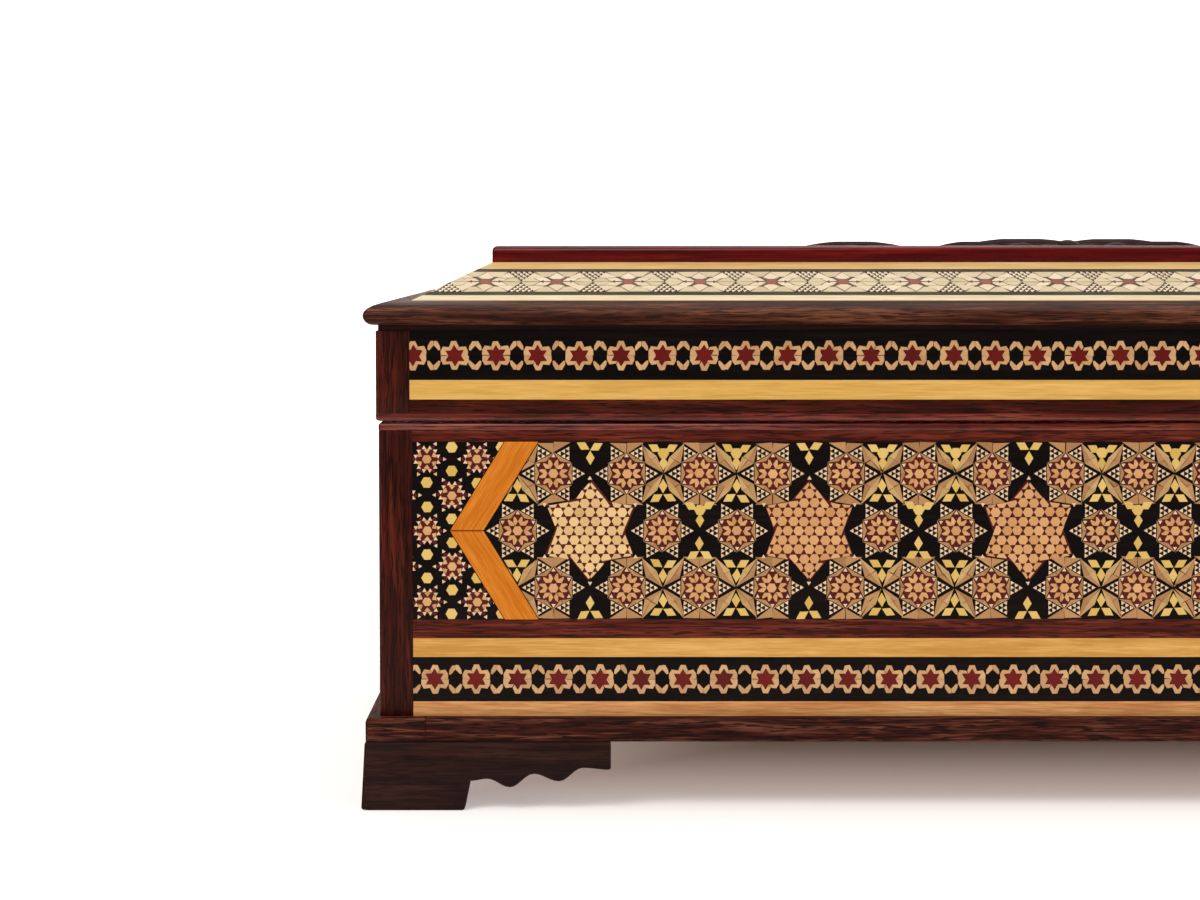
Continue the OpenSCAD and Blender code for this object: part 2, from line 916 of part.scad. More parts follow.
slope_inner_strips();
rim();
top_board();
top_border_strips();
top_mosaic();
carved_ornament();
lid_ceiling();
lid_wall_linings();
hinge_lid_leaves();
hinge_screws(true);  // hinge_lid_screws
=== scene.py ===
"""Inlaid wooden box with a hinged lid: timbers, mosaic, carving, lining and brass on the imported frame."""

import logging
import math
import random
from dataclasses import dataclass, field
from enum import Enum

import bmesh
import bpy
from mathutils import Matrix, Vector


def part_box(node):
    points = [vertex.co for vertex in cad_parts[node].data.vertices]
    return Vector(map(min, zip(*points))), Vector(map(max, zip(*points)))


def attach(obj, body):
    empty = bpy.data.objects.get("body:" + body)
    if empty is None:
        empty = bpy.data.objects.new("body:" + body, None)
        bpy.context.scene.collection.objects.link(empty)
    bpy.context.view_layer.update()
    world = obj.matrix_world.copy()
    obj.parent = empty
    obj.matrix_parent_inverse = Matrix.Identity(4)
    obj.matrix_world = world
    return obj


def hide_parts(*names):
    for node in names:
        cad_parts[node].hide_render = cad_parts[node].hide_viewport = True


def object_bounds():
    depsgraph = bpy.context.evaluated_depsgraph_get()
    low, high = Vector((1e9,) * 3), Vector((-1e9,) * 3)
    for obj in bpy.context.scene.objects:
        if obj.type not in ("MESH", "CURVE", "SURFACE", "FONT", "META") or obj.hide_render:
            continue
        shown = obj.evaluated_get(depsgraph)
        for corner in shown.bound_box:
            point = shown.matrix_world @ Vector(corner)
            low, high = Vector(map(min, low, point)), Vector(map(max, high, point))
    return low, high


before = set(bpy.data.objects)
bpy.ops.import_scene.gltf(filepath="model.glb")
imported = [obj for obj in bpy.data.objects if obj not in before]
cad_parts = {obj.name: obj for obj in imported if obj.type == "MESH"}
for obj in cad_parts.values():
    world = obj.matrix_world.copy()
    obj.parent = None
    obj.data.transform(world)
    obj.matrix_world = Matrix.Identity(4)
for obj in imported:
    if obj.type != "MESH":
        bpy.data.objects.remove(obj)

LOG = logging.getLogger("inlaid_box")
MM = 0.001
SIXTH = math.pi / 3
CAD_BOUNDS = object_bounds()

# The walls in the order of the quarter turns that lead from one to the next.
SIDES = ("front", "right", "back", "left")
# Measures that the frame's pieces share, in millimetres: width of a post's face, thickness of the
# lining cards and of the slope's veneer, and rise and run of the slope.
POST_FACE = 6.8
CARD_THICK = 1.2
VENEER_THICK = 1.2
SLOPE_RISE, SLOPE_RUN = 7.8, 16.2
# Rise and lean of one arm of a chevron, and the width of the arm along the wall.
ARM_RISE, ARM_LEAN, ARM_WIDE = 17.9, 11.0, 6.7


def linear(hex_colour: str) -> tuple[float, float, float, float]:
    """Turns an sRGB hex colour into linear RGBA.

    Args:
        hex_colour: Six hex digits after a hash sign.

    Returns:
        Linear red, green and blue, with an alpha of 1.
    """
    parts = [int(hex_colour[i : i + 2], 16) / 255 for i in (1, 3, 5)]
    red, green, blue = (c / 12.92 if c <= 0.04045 else ((c + 0.055) / 1.055) ** 2.4 for c in parts)
    return red, green, blue, 1.0


def add(tree: bpy.types.NodeTree, kind: str, inputs: dict | None = None, **settings) -> bpy.types.Node:
    """Adds a node with its settings and links.

    Args:
        tree: The material's node tree.
        kind: The node's type name, without its ShaderNode prefix.
        inputs: For each input's name or number, a value or the output that feeds it.
        settings: Properties of the node itself.

    Returns:
        The new node.
    """
    node = tree.nodes.new("ShaderNode" + kind)
    for name, value in settings.items():
        setattr(node, name, value)
    for key, value in (inputs or {}).items():
        if isinstance(value, bpy.types.NodeSocket):
            tree.links.new(value, node.inputs[key])
        else:
            node.inputs[key].default_value = value
    return node


def mixed(tree: bpy.types.NodeTree, share: object, a: object, b: object,
          blend: str = "MIX") -> bpy.types.NodeSocket:
    """Mixes two colours and gives the result's socket.

    Args:
        tree: The material's node tree.
        share: How much of b shows, a number or an output.
        a: The first colour.
        b: The second colour.
        blend: Blender's name for how they mix.

    Returns:
        The output socket with the mixed colour.
    """
    node = add(tree, "Mix", data_type="RGBA", blend_type=blend, inputs={0: share, 6: a, 7: b})
    return node.outputs[2]


@dataclass(frozen=True)
class Surface:
    """A bare Principled surface that the finishes build on.

    Attributes:
        name: The material's name.
        roughness: Roughness of the surface.
        coat: Weight of the clear lacquer over it.
        metallic: 1 for metal.
        shine: Strength of the mirror reflection, 0.5 for varnish and less for waxed wood.
    """

    name: str
    roughness: float = 0.4
    coat: float = 0.0
    metallic: float = 0.0
    shine: float = 0.5

    def start(self) -> tuple[bpy.types.Material, bpy.types.NodeTree, bpy.types.Node]:
        """Makes the material with its own settings.

        Returns:
            The material, its tree and its shader.
        """
        material = bpy.data.materials.new(self.name)
        material.use_nodes = True
        tree = material.node_tree
        shader = tree.nodes["Principled BSDF"]
        shader.inputs["Roughness"].default_value = self.roughness
        shader.inputs["Metallic"].default_value = self.metallic
        shader.inputs["Coat Weight"].default_value = self.coat
        shader.inputs["Coat Roughness"].default_value = 0.18
        shader.inputs["Specular IOR Level"].default_value = self.shine
        return material, tree, shader


class Grain(Enum):
    """Which way the grain runs."""

    SIDES = "along whichever side of the box a piece lies on"
    UPRIGHT = "up"
    LENGTH = "along the box"
    CHEVRON = "along the arms of the chevrons"


@dataclass(frozen=True)
class Timber(Surface):
    """Solid timber or thick veneer, sawn, scraped and lacquered.

    Attributes:
        dark: Colour of the dark growth.
        mid: Colour of most of the wood.
        light: Colour of the pale growth.
        pore: Colour of the open pores.
        grain: Which way the grain runs.
        ring_mm: Width of the broad bands.
        streak_mm: Width of the fine streaks.
        pores: How strongly the pores show.
        side_gap: How much longer than deep each ring of strips is, halved, in metres.
    """

    dark: str = "#2a120c"
    mid: str = "#3e1a11"
    light: str = "#54281b"
    pore: str = "#1a0a06"
    grain: Grain = Grain.SIDES
    ring_mm: float = 5.0
    streak_mm: float = 0.9
    pores: float = 0.8
    side_gap: float = 0.054
    shine: float = 0.1

    def along_grain(self, tree: bpy.types.NodeTree) -> bpy.types.NodeSocket:
        """Gives coordinates whose X runs along the grain.

        Args:
            tree: The material's node tree.

        Returns:
            The coordinates, in metres.
        """
        place = add(tree, "TexCoord").outputs["Object"]
        if self.grain is Grain.LENGTH:
            return place
        split = add(tree, "SeparateXYZ", {0: place}).outputs
        if self.grain is Grain.UPRIGHT:
            return add(tree, "CombineXYZ", {0: split[2], 1: split[0], 2: split[1]}).outputs[0]
        far_x = add(tree, "Math", {0: split[0]}, operation="ABSOLUTE").outputs[0]
        far_y = add(tree, "Math", {0: split[1]}, operation="ABSOLUTE").outputs[0]
        ahead = add(tree, "Math", {0: far_x, 1: far_y}, operation="SUBTRACT").outputs[0]
        on_end = add(tree, "Math", {0: ahead, 1: self.side_gap}, operation="GREATER_THAN").outputs[0]
        if self.grain is Grain.CHEVRON:
            level = add(tree, "Mix", {0: on_end, 2: far_x, 3: far_y}).outputs[0]
            across = add(tree, "CombineXYZ", {0: level, 1: self.off_mitre(tree)}).outputs[0]
            turn = {"Vector": across, "Angle": -math.atan2(ARM_RISE, -ARM_LEAN)}
            return add(tree, "VectorRotate", turn, rotation_type="Z_AXIS").outputs[0]
        turned = add(tree, "CombineXYZ", {0: split[1], 1: split[0], 2: split[2]}).outputs[0]
        return add(tree, "Mix", {0: on_end, 4: place, 5: turned}, data_type="VECTOR").outputs[1]

    def off_mitre(self, tree: bpy.types.NodeTree) -> bpy.types.NodeSocket:
        """Gives the distance above or below the mitre of the chevrons.

        Args:
            tree: The material's node tree.

        Returns:
            The distance, in metres.
        """
        low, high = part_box("chevron_strips")
        height = add(tree, "SeparateXYZ", {0: add(tree, "TexCoord").outputs["Object"]}).outputs[2]
        rise = add(tree, "Math", {0: height, 1: (low.z + high.z) / 2}, operation="SUBTRACT").outputs[0]
        return add(tree, "Math", {0: rise}, operation="ABSOLUTE").outputs[0]

    def noise(self, tree: bpy.types.NodeTree, vector: object, long_mm: float, wide_mm: float,
              detail: float, distortion: float = 0.0) -> bpy.types.NodeSocket:
        """Draws noise stretched along the grain.

        Args:
            tree: The material's node tree.
            vector: Coordinates with X along the grain.
            long_mm: Length of a feature along the grain.
            wide_mm: Width of a feature across it.
            detail: How much finer noise is added.
            distortion: How much the noise bends itself.

        Returns:
            The noise, from 0 to 1.
        """
        across = 1 / (wide_mm * MM)
        scale = (1 / (long_mm * MM), across, across)
        place = add(tree, "Mapping", {"Vector": vector, "Scale": scale}).outputs[0]
        made = {"Vector": place, "Scale": 1.0, "Detail": detail, "Distortion": distortion}
        return add(tree, "TexNoise", made).outputs[0]

    def build(self) -> bpy.types.Material:
        """Builds the material from bands, streaks and pores, each at its real width.

        Returns:
            The material.
        """
        material, tree, shader = self.start()
        vector = self.along_grain(tree)
        bands = self.noise(tree, vector, self.ring_mm * 16, self.ring_mm, 3.0, 0.8)
        streaks = self.noise(tree, vector, self.streak_mm * 22, self.streak_mm, 4.0, 0.4)
        pores = self.noise(tree, vector, 4.5, 0.3, 1.0)
        tone = add(tree, "Mix", {0: 0.5, 2: bands, 3: streaks}).outputs[0]
        ramp = add(tree, "ValToRGB", {0: tone})
        ramp.color_ramp.elements[0].position = 0.39
        ramp.color_ramp.elements[0].color = linear(self.dark)
        ramp.color_ramp.elements[1].position = 0.62
        ramp.color_ramp.elements[1].color = linear(self.light)
        middle = ramp.color_ramp.elements.new(0.5)
        middle.color = linear(self.mid)
        opened = add(tree, "MapRange", {0: pores, 1: 0.52, 2: 0.6}).outputs[0]
        share = add(tree, "Math", {0: opened, 1: self.pores}, operation="MULTIPLY").outputs[0]
        colour = mixed(tree, share, ramp.outputs[0], linear(self.pore))
        if self.grain is Grain.CHEVRON:
            line = {0: self.off_mitre(tree), 1: 0.08 * MM, 2: 0.2 * MM, 3: 0.85, 4: 0.0}
            glue = add(tree, "MapRange", line).outputs[0]
            colour = mixed(tree, glue, colour, linear("#4a1c06"))
        tree.links.new(colour, shader.inputs["Base Color"])
        rough = add(tree, "MapRange", {0: streaks, 3: self.roughness - 0.06, 4: self.roughness + 0.1})
        tree.links.new(rough.outputs[0], shader.inputs["Roughness"])
        sunk = add(tree, "Math", {0: streaks, 1: share}, operation="SUBTRACT").outputs[0]
        bump = add(tree, "Bump", {"Strength": 0.35, "Distance": 0.06 * MM, "Height": sunk})
        tree.links.new(bump.outputs[0], shader.inputs["Normal"])
        return material


@dataclass(frozen=True)
class Tessera(Surface):
    """Small inlaid pieces of one wood, bone or stained wood, each a little different.

    Attributes:
        dark: Colour of the darkest piece.
        light: Colour of the palest piece.
        fleck_mm: Width of the flecks of end grain.
    """

    dark: str = "#000000"
    light: str = "#ffffff"
    fleck_mm: float = 0.35
    shine: float = 0.2

    def build(self) -> bpy.types.Material:
        """Builds the material from each piece's own tint and fine flecks of end grain.

        Returns:
            The material.
        """
        material, tree, shader = self.start()
        tint = add(tree, "Attribute", attribute_name="tint").outputs["Fac"]
        place = add(tree, "TexCoord").outputs["Object"]
        made = {"Vector": place, "Scale": 1 / (self.fleck_mm * MM), "Detail": 3.0}
        fleck = add(tree, "TexNoise", made).outputs[0]
        share = add(tree, "Mix", {0: 0.42, 2: tint, 3: fleck}).outputs[0]
        colour = mixed(tree, share, linear(self.dark), linear(self.light))
        tree.links.new(colour, shader.inputs["Base Color"])
        bump = add(tree, "Bump", {"Strength": 0.2, "Distance": 0.03 * MM, "Height": fleck})
        tree.links.new(bump.outputs[0], shader.inputs["Normal"])
        return material


@dataclass(frozen=True)
class Brass(Surface):
    """Rolled brass, filed and dulled by handling, so it shines unevenly and has patches of tarnish."""

    def build(self) -> bpy.types.Material:
        """Builds the material from file marks 0.15 mm apart and patches of tarnish.

        Returns:
            The material.
        """
        material, tree, shader = self.start()
        place = add(tree, "TexCoord").outputs["Object"]
        scale = (1 / (6 * MM), 1 / (0.15 * MM), 1 / (0.15 * MM))
        filed = add(tree, "Mapping", {"Vector": place, "Scale": scale}).outputs[0]
        marks = add(tree, "TexNoise", {"Vector": filed, "Scale": 1.0, "Detail": 2.0}).outputs[0]
        tarnish = add(tree, "TexNoise", {"Vector": place, "Scale": 1 / (3 * MM), "Detail": 4.0}).outputs[0]
        colour = mixed(tree, tarnish, linear("#8a6a30"), linear("#d8b468"))
        tree.links.new(colour, shader.inputs["Base Color"])
        rough = add(tree, "MapRange", {0: marks, 3: 0.22, 4: 0.48}).outputs[0]
        tree.links.new(rough, shader.inputs["Roughness"])
        bump = add(tree, "Bump", {"Strength": 0.15, "Distance": 0.02 * MM, "Height": marks})
        tree.links.new(bump.outputs[0], shader.inputs["Normal"])
        return material


@dataclass(frozen=True)
class Velvet(Surface):
    """Cotton velvet, woven and sheared, so it is dark face on and bright at a grazing angle."""

    def build(self) -> bpy.types.Material:
        """Builds the material from a short pile drawn 0.4 mm coarse, so that it shows.

        Returns:
            The material.
        """
        material, tree, shader = self.start()
        place = add(tree, "TexCoord").outputs["Object"]
        pile = add(tree, "TexNoise", {"Vector": place, "Scale": 1 / (0.4 * MM), "Detail": 3.0}).outputs[0]
        nap = add(tree, "TexNoise", {"Vector": place, "Scale": 1 / (22 * MM), "Detail": 2.0}).outputs[0]
        tone = add(tree, "Mix", {0: 0.5, 2: pile, 3: nap}).outputs[0]
        colour = mixed(tree, tone, linear("#3c0510"), linear("#86142a"))
        tree.links.new(colour, shader.inputs["Base Color"])
        shader.inputs["Sheen Weight"].default_value = 0.7
        shader.inputs["Sheen Roughness"].default_value = 0.35
        shader.inputs["Sheen Tint"].default_value = linear("#c0485c")
        bump = add(tree, "Bump", {"Strength": 0.6, "Distance": 0.3 * MM, "Height": pile})
        tree.links.new(bump.outputs[0], shader.inputs["Normal"])
        return material


# Indian rosewood, planed and waxed: reddish brown with near-black streaks and open pores.
ROSEWOOD = Timber("waxed_rosewood", 0.4, dark="#240500", mid="#3e1107", light="#5c2415", pore="#120200")
POST_WOOD = Timber("waxed_rosewood_upright", 0.4, dark="#260500", mid="#3b0f05", light="#562012",
                   pore="#120200", grain=Grain.UPRIGHT, ring_mm=4.0)
# The nosing is the same timber, coloured paler all over.
NOSING_WOOD = Timber("pale_nosing_rosewood", 0.5, shine=0.1, dark="#260900", mid="#462010",
                     light="#6e402a", pore="#160501", ring_mm=3.0)
# Padauk rails: a redder timber above and below the mosaic.
PADAUK = Timber("waxed_padauk", 0.38, 0.1, dark="#360400", mid="#54190b", light="#72301e",
                pore="#200300", ring_mm=3.5)
# The lippings are the same timber, polished so their rounded edges catch the light, and coloured paler as a
# painted highlight.
LIP_WOOD_PAINTED_HIGHLIGHT = Timber("polished_padauk_painted_highlight", 0.25, 0.5, dark="#4a0e06", mid="#6b2416", light="#854030",
                  pore="#2c0602", ring_mm=3.5)
# Red-stained beech under gloss lacquer: an even dark red with faint streaks.
RED_BEECH = Timber("red_stained_beech", 0.26, 0.2, dark="#4a0000", mid="#620400", light="#7c180c",
                   pore="#360000", ring_mm=6.0, pores=0.35)
# Dark-stained walnut of the feet and carving: brown-black, satin.
WALNUT = Timber("dark_stained_walnut", 0.45, dark="#190a06", mid="#27110c", light="#361c16",
                pore="#0c0301", ring_mm=3.0, pores=0.5)
# Rough-sawn frame strip, stained but hardly lacquered, so its fibres catch the light.
ROUGH_WALNUT = Timber("rough_sawn_walnut", 0.6, dark="#200500", mid="#3e170d", light="#64382a",
                      pore="#120200", ring_mm=1.6, streak_mm=0.5, pores=0.9)
# Lemonwood strip, scraped and lacquered: clear yellow with faint long grain.
LEMONWOOD = Timber("lacquered_lemonwood", 0.32, 0.0, dark="#c79b4c", mid="#d4a758", light="#deb468",
                   pore="#bc8c42", ring_mm=2.4, streak_mm=0.4, pores=0.2)
# The strip under the mosaic comes from a warmer board.
WARM_LEMONWOOD = Timber("warm_lemonwood", 0.32, 0.0, dark="#bd8a40", mid="#cb9a4e", light="#d8a960",
                        pore="#b07c38", ring_mm=2.4, streak_mm=0.4, pores=0.25)
# The lowest strip is the same wood, toned darker.
TONED_LEMONWOOD = Timber("toned_lemonwood", 0.36, 0.0, dark="#b37440", mid="#c98f58", light="#dca66e",
                         pore="#a06434", ring_mm=2.4, streak_mm=0.4, pores=0.3)
# Bleached maple strips on the slope: cream turning yellow towards the rim.
MAPLE = Timber("bleached_maple", 0.34, 0.0, dark="#c9b588", mid="#d8c59b", light="#e4d4b0",
               pore="#b8a274", ring_mm=3.0, streak_mm=0.5, pores=0.2)
WARM_MAPLE = Timber("warm_maple", 0.34, 0.0, dark="#c8a061", mid="#d4ae70", light="#e0c088",
                    pore="#b88e50", ring_mm=3.0, streak_mm=0.5, pores=0.2)
# Orange-stained beech veneer of the chevrons.
ORANGE_BEECH = Timber("orange_stained_beech", 0.36, 0.0, dark="#bb6713", mid="#ca751d", light="#d6842c",
                      pore="#a8560f", grain=Grain.CHEVRON, ring_mm=3.0, streak_mm=0.4, pores=0.35)
# Ebonised pearwood: black with a soft shine, the ground of the mosaic.
EBONISED = Timber("ebonised_pearwood", 0.34, shine=0.1, dark="#030000", mid="#070201", light="#100705",
                  pore="#010000", pores=0.3)
# The black lines on the slope are coloured grey, as painted light from above.
GREY_LINE = Timber("black_line_greyed_as_painted_light", 0.34, 0.0, dark="#2a2218", mid="#3c3224", light="#54483a",
                   pore="#1c160e", ring_mm=1.0, streak_mm=0.4, pores=0.4)
# Ground of the slope's mosaic: grey-green lime wood, which shows between the pale pieces.
LIME = Timber("grey_green_lime_wood", 0.36, 0.0, dark="#6e674e", mid="#7c755a", light="#8c8468",
              pore="#5c563e", ring_mm=1.6, streak_mm=0.5, pores=0.2)
# Planed pine planks and panels, which show only underneath.
PINE = Timber("planed_pine", 0.55, 0.0, dark="#8c5f34", mid="#a87848", light="#c0935f",
              pore="#7a4f28", grain=Grain.LENGTH, ring_mm=6.0)

# Cotton velvet, wine red: dark face on, bright where seen at an angle.
VELVET = Velvet("wine_red_velvet", 0.9)
# Rolled and filed brass, handled dull.
BRASS = Brass("filed_brass", 0.3, 0.0, 1.0)

# Boxwood rods, cut across the grain, so each shows flecks and a darker heart.
BOXWOOD = Tessera("boxwood_rods", 0.34, 0.0, dark="#b37842", light="#ddae79")
# Rods of one or two large stars, split from a paler stick.
PALE_RODS = Tessera("pale_boxwood_rods", 0.34, 0.0, dark="#b98f58", light="#eccb92")
# Lemonwood rods, yellower.
YELLOW_RODS = Tessera("lemonwood_rods", 0.34, 0.0, dark="#c1973c", light="#e0c478")
# Redwood rods between the light ones.
MAROON_RODS = Tessera("dyed_redwood_rods", 0.36, 0.0, dark="#330808", light="#5c1312")
# The red stars of the chain bands.
RED_STARS = Tessera("red_dyed_sycamore", 0.34, 0.0, dark="#420504", light="#70100b")
# Black rods.
BLACK_RODS = Tessera("ebonised_rods", 0.34, 0.0, dark="#060202", light="#140c0a")
# Walnut sapwood petals round the rosettes, cut as leaning pairs.
TAN_PETALS = Tessera("walnut_petals", 0.34, 0.0, dark="#8c6139", light="#bf9262", fleck_mm=0.9)
OLIVE_KITES = Tessera("olive_wood_kites", 0.34, 0.0, dark="#a27b48", light="#ccaa74", fleck_mm=0.9)
# Bone triangles.
BONE = Tessera("bone_triangles", 0.3, 0.0, dark="#c9a57d", light="#ead3b1")
# Light strips of the chain.
CHAIN_STRIPS = Tessera("chain_strips", 0.34, 0.0, dark="#a87a50", light="#d6ad7c", fleck_mm=0.6)
# Pieces of the slope's mosaic.
SLOPE_CORE = Tessera("slope_star_cores", 0.36, 0.0, dark="#6c3828", light="#94543e")
SLOPE_ARMS = Tessera("slope_star_arms", 0.36, 0.0, dark="#3e2418", light="#644230")
SLOPE_PETALS = Tessera("slope_petals", 0.34, 0.0, dark="#cbb391", light="#e6d4b4", fleck_mm=0.8)
SLOPE_GREEN = Tessera("slope_green_lime", 0.34, 0.0, dark="#b8a27a", light="#d9c9a6", fleck_mm=0.8)
SLOPE_CHECKS = Tessera("slope_checks", 0.4, shine=0.1, dark="#140b05", light="#2e1f12")

# Heights of the tops of inlaid pieces over the veneer's face, in millimetres: plates, what lies
# on them, and what lies on that. They are a few hundredths apart, as scraped inlay is.
PLATE, PIECE, CAP = 0.02, 0.04, 0.055
# How far inlaid pieces reach into the veneer.
INLAY_DEPTH = 0.12


@dataclass
class Finishes:
    """Builds each material once and hands it out.

    Attributes:
        made: The materials built so far, by finish.
    """

    made: dict[Surface, bpy.types.Material] = field(default_factory=dict)

    def get(self, finish: Surface) -> bpy.types.Material:
        """Gives the material of a finish, and builds it the first time."""
        if finish not in self.made:
            self.made[finish] = finish.build()
        return self.made[finish]


FINISHES = Finishes()


class Motif:
    """A flat figure of inlaid pieces in millimetres, drawn once and stamped many times."""

    def __init__(self, woods: list[Tessera]) -> None:
        """Starts an empty figure.

        Args:
            woods: The finishes that its pieces may have.
        """
        self.woods = woods
        self.bm = bmesh.new()

    def ngon(self, sides: int, radius: float, at: tuple[float, float], turn: float, wood: Tessera,
             height: float = PIECE) -> bmesh.types.BMFace:
        """Lays a regular piece.

        Args:
            sides: Number of its sides.
            radius: Its radius to a corner.
            at: Its middle.
            turn: Direction of its first corner, in radians.
            wood: Its finish.
            height: Height of its top.

        Returns:
            The piece's face.
        """
        place = Matrix.Translation((*at, height)) @ Matrix.Rotation(turn - math.pi / 2, 4, "Z")
        made = bmesh.ops.create_circle(self.bm, cap_ends=True, segments=sides, radius=radius, matrix=place)
        face = made["verts"][0].link_faces[0]
        face.material_index = self.woods.index(wood)
        return face

    def patch(self, corners: list[tuple[float, float]], wood: Tessera, height: float = PIECE,
              turn: float = 0.0) -> bmesh.types.BMFace:
        """Lays a piece with the given corners, turned about the figure's middle.

        Args:
            corners: Its corners in order.
            wood: Its finish.
            height: Height of its top.
            turn: How far it is turned, in radians.

        Returns:
            The piece's face.
        """
        c, s = math.cos(turn), math.sin(turn)
        verts = [self.bm.verts.new((x * c - y * s, x * s + y * c, height)) for x, y in corners]
        face = self.bm.faces.new(verts)
        face.material_index = self.woods.index(wood)
        return face

    def trim(self, at: tuple[float, float], away: tuple[float, float]) -> None:
        """Cuts off what lies beyond a line.

        Args:
            at: A point of the line.
            away: The direction in which everything is cut off.
        """
        parts = [*self.bm.verts, *self.bm.edges, *self.bm.faces]
        bmesh.ops.bisect_plane(self.bm, geom=parts, dist=1e-5, plane_co=(*at, 0), plane_no=(*away, 0),
                               clear_outer=True)

    def cluster(self, at: tuple[float, float], turn: float, side: float, rows: int, light: Tessera,
                dark: Tessera) -> None:
        """Lays a triangle of small light triangles on a dark one.

        Args:
            at: The middle of its base.
            turn: The direction in which it points.
            side: Length of a small triangle's side.
            rows: Number of rows.
            light: Finish of the small triangles.
            dark: Finish of the large one.
        """
        step = side * math.sqrt(3) / 2
        ux, uy = math.cos(turn), math.sin(turn)
        middle = rows * step / 3
        self.ngon(3, rows * side / math.sqrt(3), (at[0] + ux * middle, at[1] + uy * middle), turn, dark,
                  PLATE)
        for row in range(rows):
            for k in range(rows - row):
                out = step * (row + 1 / 3)
                sideways = side * (k - (rows - row - 1) / 2)
                x = at[0] + ux * out - uy * sideways
                y = at[1] + uy * out + ux * sideways
                self.ngon(3, side * 0.5, (x, y), turn, light)

    def mesh(self) -> bpy.types.Mesh:
        """Frees what the figure was drawn in.

        Returns:
            The figure as a mesh.
        """
        made = bpy.data.meshes.new("motif")
        self.bm.to_mesh(made)
        self.bm.free()
        return made


@dataclass(frozen=True)
class Facing:
    """A plane of the box that carries inlay, with a frame of its own: along, up and out.

    Attributes:
        side: 0 front, 1 right, 2 back, 3 left; the others follow by quarter turns.
        out: Distance of the frame's origin from the box's middle, in metres.
        height: Height of the origin above the floor, in metres.
        lean: How far the face leans back from the upright, in radians.
    """

    side: int
    out: float
    height: float
    lean: float = 0.0

    def matrix(self) -> Matrix:
        """Takes millimetres on the face to metres in the box's frame.

        Returns:
            The matrix that does so.
        """
        turn = Matrix.Rotation(self.side * math.pi / 2, 4, "Z")
        place = Matrix.Translation((0, -self.out, self.height))
        lean = Matrix.Rotation(math.pi / 2 - self.lean, 4, "X")
        return turn @ place @ lean @ Matrix.Scale(MM, 4)


class Inlay:
    """Inlaid pieces of one panel or of a run of panels, made as one object."""

    def __init__(self, name: str, woods: list[Tessera], body: str, slot: str, seed: int) -> None:
        """Starts an empty inlay.

        Args:
            name: Name of the object.
            woods: The finishes of its pieces.
            body: The CAD body that it rides on.
            slot: The record's material slot; not used.
            seed: Seed of the small irregularities.
        """
        self.name, self.woods, self.body, self.slot = name, woods, body, slot
        self.chance = random.Random(seed)
        self.whole = bmesh.new()
        self.tint = self.whole.faces.layers.float.new("tint")

    def lay(self, facing: Facing, stamps: list[tuple[bpy.types.Mesh, float, float]],
            edges: list[tuple[tuple[float, float], tuple[float, float]]]) -> None:
        """Stamps figures on a face, trims them to its edges and sinks them into it.

        Args:
            facing: The face.
            stamps: Each figure with its place, in millimetres.
            edges: A point and an outward direction for each edge of the panel.
        """
        bm = bmesh.new()
        for figure, x, y in stamps:
            copy = figure.copy()
            copy.transform(Matrix.Translation((x, y, 0)))
            bm.from_mesh(copy)
            bpy.data.meshes.remove(copy)
        self.shake(bm)
        for at, away in edges:
            parts = [*bm.verts, *bm.edges, *bm.faces]
            bmesh.ops.bisect_plane(bm, geom=parts, dist=1e-5, plane_co=(*at, 0), plane_no=(*away, 0),
                                   clear_outer=True)
        tint = bm.faces.layers.float.new("tint")
        for face in bm.faces:
            face[tint] = min(max(self.chance.gauss(0.55, 0.22), 0), 1)
        sunk = bmesh.ops.extrude_face_region(bm, geom=list(bm.faces), use_keep_orig=True)
        deep = [v for v in sunk["geom"] if isinstance(v, bmesh.types.BMVert)]
        bmesh.ops.translate(bm, verts=deep, vec=(0, 0, -INLAY_DEPTH))
        bmesh.ops.recalc_face_normals(bm, faces=list(bm.faces))
        bm.transform(facing.matrix())
        laid = bpy.data.meshes.new("laid")
        bm.to_mesh(laid)
        bm.free()
        self.whole.from_mesh(laid)
        bpy.data.meshes.remove(laid)

    def shake(self, bm: bmesh.types.BMesh) -> None:
        """Moves and turns each piece a little, as hand-laid rods are."""
        for face in bm.faces:
            middle = face.calc_center_median()
            slack = min(math.sqrt(face.calc_area()) * 0.035, 0.06)
            turn = Matrix.Rotation(self.chance.gauss(0, 0.035), 3, "Z")
            shift = Vector((self.chance.gauss(0, slack), self.chance.gauss(0, slack), 0))
            for v in face.verts:
                v.co = middle + turn @ (v.co - middle) + shift

    def place(self) -> bpy.types.Object:
        """Makes the object, with only the finishes that it uses.

        Returns:
            The object.
        """
        used = sorted({f.material_index for f in self.whole.faces})
        for face in self.whole.faces:
            face.material_index = used.index(face.material_index)
        mesh = bpy.data.meshes.new(self.name)
        self.whole.to_mesh(mesh)
        self.whole.free()
        for k in used:
            mesh.materials.append(FINISHES.get(self.woods[k]))
        return place_piece(mesh, self.name, self.body)


def place_piece(mesh: bpy.types.Mesh, name: str, body: str) -> bpy.types.Object:
    """Links a finished mesh as a piece that rides on a body.

    Args:
        mesh: The mesh, in metres in the box's frame.
        name: The piece's name.
        body: The CAD body.

    Returns:
        The new object.
    """
    piece = bpy.data.objects.new(name, mesh)
    bpy.context.scene.collection.objects.link(piece)
    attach(piece, body)
    LOG.info("%s: %d faces", name, len(mesh.polygons))
    return piece


